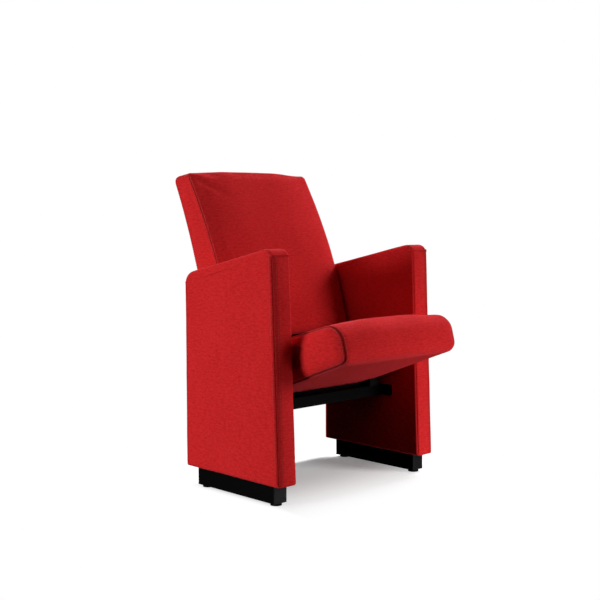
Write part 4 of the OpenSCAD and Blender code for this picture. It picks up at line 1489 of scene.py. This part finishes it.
@dataclass
class Closings:
    """The steel strip below the back and the rubber lip on the beam, which close the gaps there."""

    strip_half: float = 0.2365
    strip_profile: tuple[Pair, ...] = (
        (0.0455, 0.440), (0.0455, 0.358), (0.0475, 0.354), (0.0600, 0.3515),
    )
    sheet: float = 0.0016
    strip_rounding: float = 0.0005
    lip_half: float = 0.2310
    lip_rounding: float = 0.0004
    sharp_from: float = 0.5
    lip_profile: tuple[Pair, ...] = (
        (0.2010, 0.2498), (0.2150, 0.2498), (0.2146, 0.2528), (0.2125, 0.2560), (0.2095, 0.2566),
        (0.2060, 0.2552), (0.2030, 0.2524),
    )

    def strip(self) -> Object:
        """The folded strip: a bent line drawn out along the width, given its thickness."""
        form = bmesh.new()
        points = [form.verts.new(in_place(-self.strip_half, spot)) for spot in self.strip_profile]
        edges = [form.edges.new(pair) for pair in zip(points, points[1:])]
        made = bmesh.ops.extrude_edge_only(form, edges=edges)
        fresh = [item for item in made["geom"] if isinstance(item, BMVert)]
        bmesh.ops.translate(form, verts=fresh, vec=(2 * self.strip_half, 0, 0))
        bmesh.ops.recalc_face_normals(form, faces=form.faces)
        bmesh.ops.solidify(form, geom=form.faces[:], thickness=self.sheet)
        return self.settled(form, "back_closing_strip", self.strip_rounding)

    def lip(self) -> Object:
        """The lip: its section drawn out along the width."""
        form = bmesh.new()
        points = [form.verts.new(in_place(-self.lip_half, spot)) for spot in self.lip_profile]
        face = form.faces.new(points)
        made = bmesh.ops.extrude_face_region(form, geom=[face])
        fresh = [item for item in made["geom"] if isinstance(item, BMVert)]
        bmesh.ops.translate(form, verts=fresh, vec=(2 * self.lip_half, 0, 0))
        return self.settled(form, "beam_lip", self.lip_rounding)

    def settled(self, form: Form, name: str, round_edge: float) -> Object:
        """Rounds a form's edges and makes it a piece of the stand.

        Args:
            form: The form, which is used up.
            name: The piece's name.
            round_edge: How far its edges are rounded.

        Returns:
            The piece.
        """
        bmesh.ops.recalc_face_normals(form, faces=form.faces)
        sharp = [edge for edge in form.edges if edge.calc_face_angle(0.0) > self.sharp_from]
        bmesh.ops.bevel(
            form, geom=sharp, offset=round_edge, segments=2, profile=0.5, affect="EDGES",
            material=-1,
        )
        piece = placed(form, name)
        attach(piece, STAND)
        return piece

    def finish(self) -> None:
        """Builds and dresses both."""
        strip, lip = self.strip(), self.lip()
        dress(strip, PowderCoat(name="strip_powder_coat").make())
        dress(lip, Moulded("lip_rubber", *RUBBER_LOOK).make())
        for piece in (strip, lip):
            LOG.info("%s: %d faces", piece.name, len(piece.data.polygons))


@dataclass
class Hardware:
    """The carried-over frames, boards, plinths and fasteners, each in its finish."""

    painted: tuple[str, ...] = (
        "plinth_left", "plinth_right", "cross_beam", "beam_bolts", "back_spacers"
    )
    plastic: tuple[str, ...] = ("plinth_end_caps",)
    rubber: tuple[str, ...] = ("floor_glides", "stop_buffers", "seat_webbing")
    steel: tuple[str, ...] = (
        "plinth_bolts", "side_frame_left", "side_frame_right", "side_board_screws",
        "buffer_screws", "pivot_pin_left", "pivot_pin_right", "seat_frame", "seat_board_screws",
        "back_rails", "back_board_screws", "back_bolts",
    )
    wooden: tuple[str, ...] = (
        "outer_board_left", "outer_board_right", "inner_board_left", "inner_board_right",
        "seat_board", "back_ribs", "back_board",
    )
    nylon: tuple[str, ...] = ("pivot_washers", "pivot_bush_left", "pivot_bush_right")

    def finish(self) -> None:
        """Gives every node its material."""
        finishes = (
            (self.painted, PowderCoat()),
            (self.plastic, Moulded("moulded_black", *PLASTIC_LOOK)),
            (self.rubber, Moulded("black_rubber", *RUBBER_LOOK)),
            (self.steel, DrawnSteel()),
            (self.wooden, Plywood()),
            (self.nylon, Moulded("white_nylon", *NYLON_LOOK)),
        )
        for names, finish in finishes:
            material = finish.make()
            for name in names:
                dress(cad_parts[name], material)
            LOG.info("%s: %d nodes", finish.name, len(names))


# ---------------------------------------------------------------- studio


@dataclass(frozen=True)
class Lamp:
    """A soft square lamp.

    Attributes:
        name: Its name.
        azimuth: Its direction in degrees, from the chair's front towards its right side.
        height: How high it stands over the aim, in degrees.
        distance: Its distance from the aim.
        size: The side of its square.
        power: Its power in watts.
        aim: The point that it faces.
    """

    name: str
    azimuth: float
    height: float
    distance: float
    size: float
    power: float
    aim: Triple = (0.0, 0.0, 0.4)

    def hang(self) -> None:
        """Adds the lamp to the scene."""
        azimuth, height = math.radians(self.azimuth), math.radians(self.height)
        way = Vector((
            math.sin(azimuth) * math.cos(height),
            -math.cos(azimuth) * math.cos(height),
            math.sin(height),
        ))
        data = bpy.data.lights.new(self.name, "AREA")
        data.size = self.size
        data.energy = self.power
        lamp = bpy.data.objects.new(self.name, data)
        lamp.location = Vector(self.aim) + way * self.distance
        lamp.rotation_euler = way.to_track_quat("Z", "Y").to_euler()
        lamp.visible_camera = False
        bpy.context.scene.collection.objects.link(lamp)


@dataclass
class Studio:
    """The pale floor, the soft lights and the camera at the photograph's view."""

    camera_place: Triple = (-2.1574, -2.19918, 0.7435)
    yaw: float = 43.762
    pitch: float = 4.389
    roll: float = -0.178
    lens: float = 66.16
    floor_size: float = 30.0
    floor_glow: float = 0.22
    surround_share: float = 0.9
    paper: Triple = (0.95, 0.95, 0.95)
    paper_grain: Triple = (0.9, 0.9, 0.9)
    grain_share: float = 0.05
    grain_scale: float = 6.0
    bare_far: Pair = (0.30, 0.60)
    bare_left: Pair = (-0.24, -0.31)
    bare_back: Pair = (0.05, -0.33)
    sky: float = 0.01
    lamps: tuple[Lamp, ...] = (
        Lamp("left_fill", -106.0, 0.5, 4.0, 1.0, 116.0),
        Lamp("left_high", -107.0, 50.0, 4.0, 1.2, 14.0),
        Lamp("front_key", 25.0, 22.0, 4.0, 1.3, 78.0),
        Lamp("right_key", 98.0, 27.0, 4.0, 1.3, 170.0),
        Lamp("rear_soft", 172.0, 48.0, 4.0, 2.2, 95.0),
        Lamp("low_right", 42.0, -10.0, 1.5, 0.6, 0.6, (0.0, -0.3, 0.36)),
        Lamp("low_front", 39.0, -24.0, 0.78, 0.4, 2.1, (0.0, -0.3, 0.36)),
        Lamp("low_under", 47.0, -54.0, 0.75, 0.4, 1.4, (0.0, -0.3, 0.36)),
    )
    rear_card: tuple[Triple, ...] = (
        (-0.236, 0.187, 0.02), (0.236, 0.187, 0.02), (0.236, 0.187, 0.395), (-0.236, 0.187, 0.395),
    )
    left_card: tuple[Triple, ...] = (
        (-0.2335, 0.187, 0.02), (-0.2335, -0.168, 0.02), (-0.2335, -0.168, 0.30),
        (-0.2335, -0.03, 0.255), (-0.2335, 0.187, 0.25),
    )

    def set_camera(self) -> None:
        """Puts the camera where the photograph was taken from."""
        turns = ((-self.yaw, "Z"), (90 - self.pitch, "X"), (self.roll, "Z"))
        place = Matrix.Translation(self.camera_place)
        for degrees, axis in turns:
            place = place @ Matrix.Rotation(math.radians(degrees), 4, axis)
        data = bpy.data.cameras.new("photo_view")
        data.lens = self.lens
        data.sensor_width = 36.0
        data.clip_end = 200.0
        camera = bpy.data.objects.new("photo_view", data)
        camera.matrix_world = place
        bpy.context.scene.collection.objects.link(camera)
        bpy.context.scene.camera = camera

    def set_lights(self) -> None:
        """Hangs the lamps, and leaves the sky nearly dark."""
        for lamp in self.lamps:
            lamp.hang()
        world = bpy.data.worlds.new("sky")
        world.use_nodes = True
        colour, strength = world.node_tree.nodes["Background"].inputs[:2]
        colour.default_value = (*WHITE, 1.0)
        strength.default_value = self.sky
        bpy.context.scene.world = world
        bpy.context.scene.view_settings.view_transform = "Standard"

    def set_stage(self) -> None:
        """A pale floor, a white surround, and black cards that shade the room under the seat."""
        form = bmesh.new()
        bmesh.ops.create_grid(form, x_segments=1, y_segments=1, size=self.floor_size / 2)
        floor = self.stage(form, "floor", self.floor_material())
        floor.visible_shadow = False
        form = bmesh.new()
        reach = self.floor_size * self.surround_share
        bmesh.ops.create_uvsphere(form, u_segments=48, v_segments=24, radius=reach)
        white = {"Color": WHITE, "Strength": 1.0}
        paint = Shop("white_surround").end("ShaderNodeEmission", white)
        surround = self.stage(form, "surround", paint)
        surround.visible_shadow = False
        form = bmesh.new()
        for places in (self.rear_card, self.left_card):
            form.faces.new([form.verts.new(place) for place in places])
        black = Shop("black_card").end("ShaderNodeBsdfDiffuse", {"Color": BLACK})
        card = self.stage(form, "shade_card", black)
        card.visible_camera = False
        for piece in (floor, surround, card):
            piece.visible_glossy = False
            piece.visible_diffuse = piece is card

    def stage(self, form: Form, name: str, material: Material) -> Object:
        """Makes a stage piece."""
        piece = placed(form, name)
        dress(piece, material)
        return piece

    def floor_material(self) -> Material:
        """White paper that takes a soft shadow near the chair and fades into the surround."""
        shop = Shop("white_paper")
        place = shop.place()
        far = shop.node("ShaderNodeVectorMath", {"operation": "LENGTH"}, {0: place}, "Value")
        grain = shop.noise(place, self.grain_scale, 4.0) * self.grain_share
        paper = {"Color": shop.mixed(grain, self.paper, self.paper_grain)}
        paper = shop.node("ShaderNodeBsdfDiffuse", None, paper)
        glow, white = (
            shop.node("ShaderNodeEmission", None, {"Color": WHITE, "Strength": strength})
            for strength in (self.floor_glow, 1.0)
        )
        near = shop.node("ShaderNodeAddShader", None, {0: paper, 1: glow})
        across, back, _ = shop.parts(place)
        bare = far.ramp(*self.bare_far).most(across.ramp(*self.bare_left))
        bare = bare.most(back.ramp(*self.bare_back))
        return shop.end("ShaderNodeMixShader", {0: bare, 1: near, 2: white})

    def build(self) -> None:
        """Sets up the whole studio."""
        self.set_camera()
        self.set_lights()
        self.set_stage()


def main() -> None:
    """Builds the studio and every sub-assembly in order."""
    logging.basicConfig(level=logging.INFO, format="%(name)s: %(message)s")
    Studio().build()
    Hardware().finish()
    wardrobe = Wardrobe.filled()
    for side in Side:
        SidePanel.of(side).finish(wardrobe, side)
    SeatCushion.made().finish(wardrobe)
    Backrest.made().finish(wardrobe)
    Closings().finish()


if __name__ == "__main__":
    main()
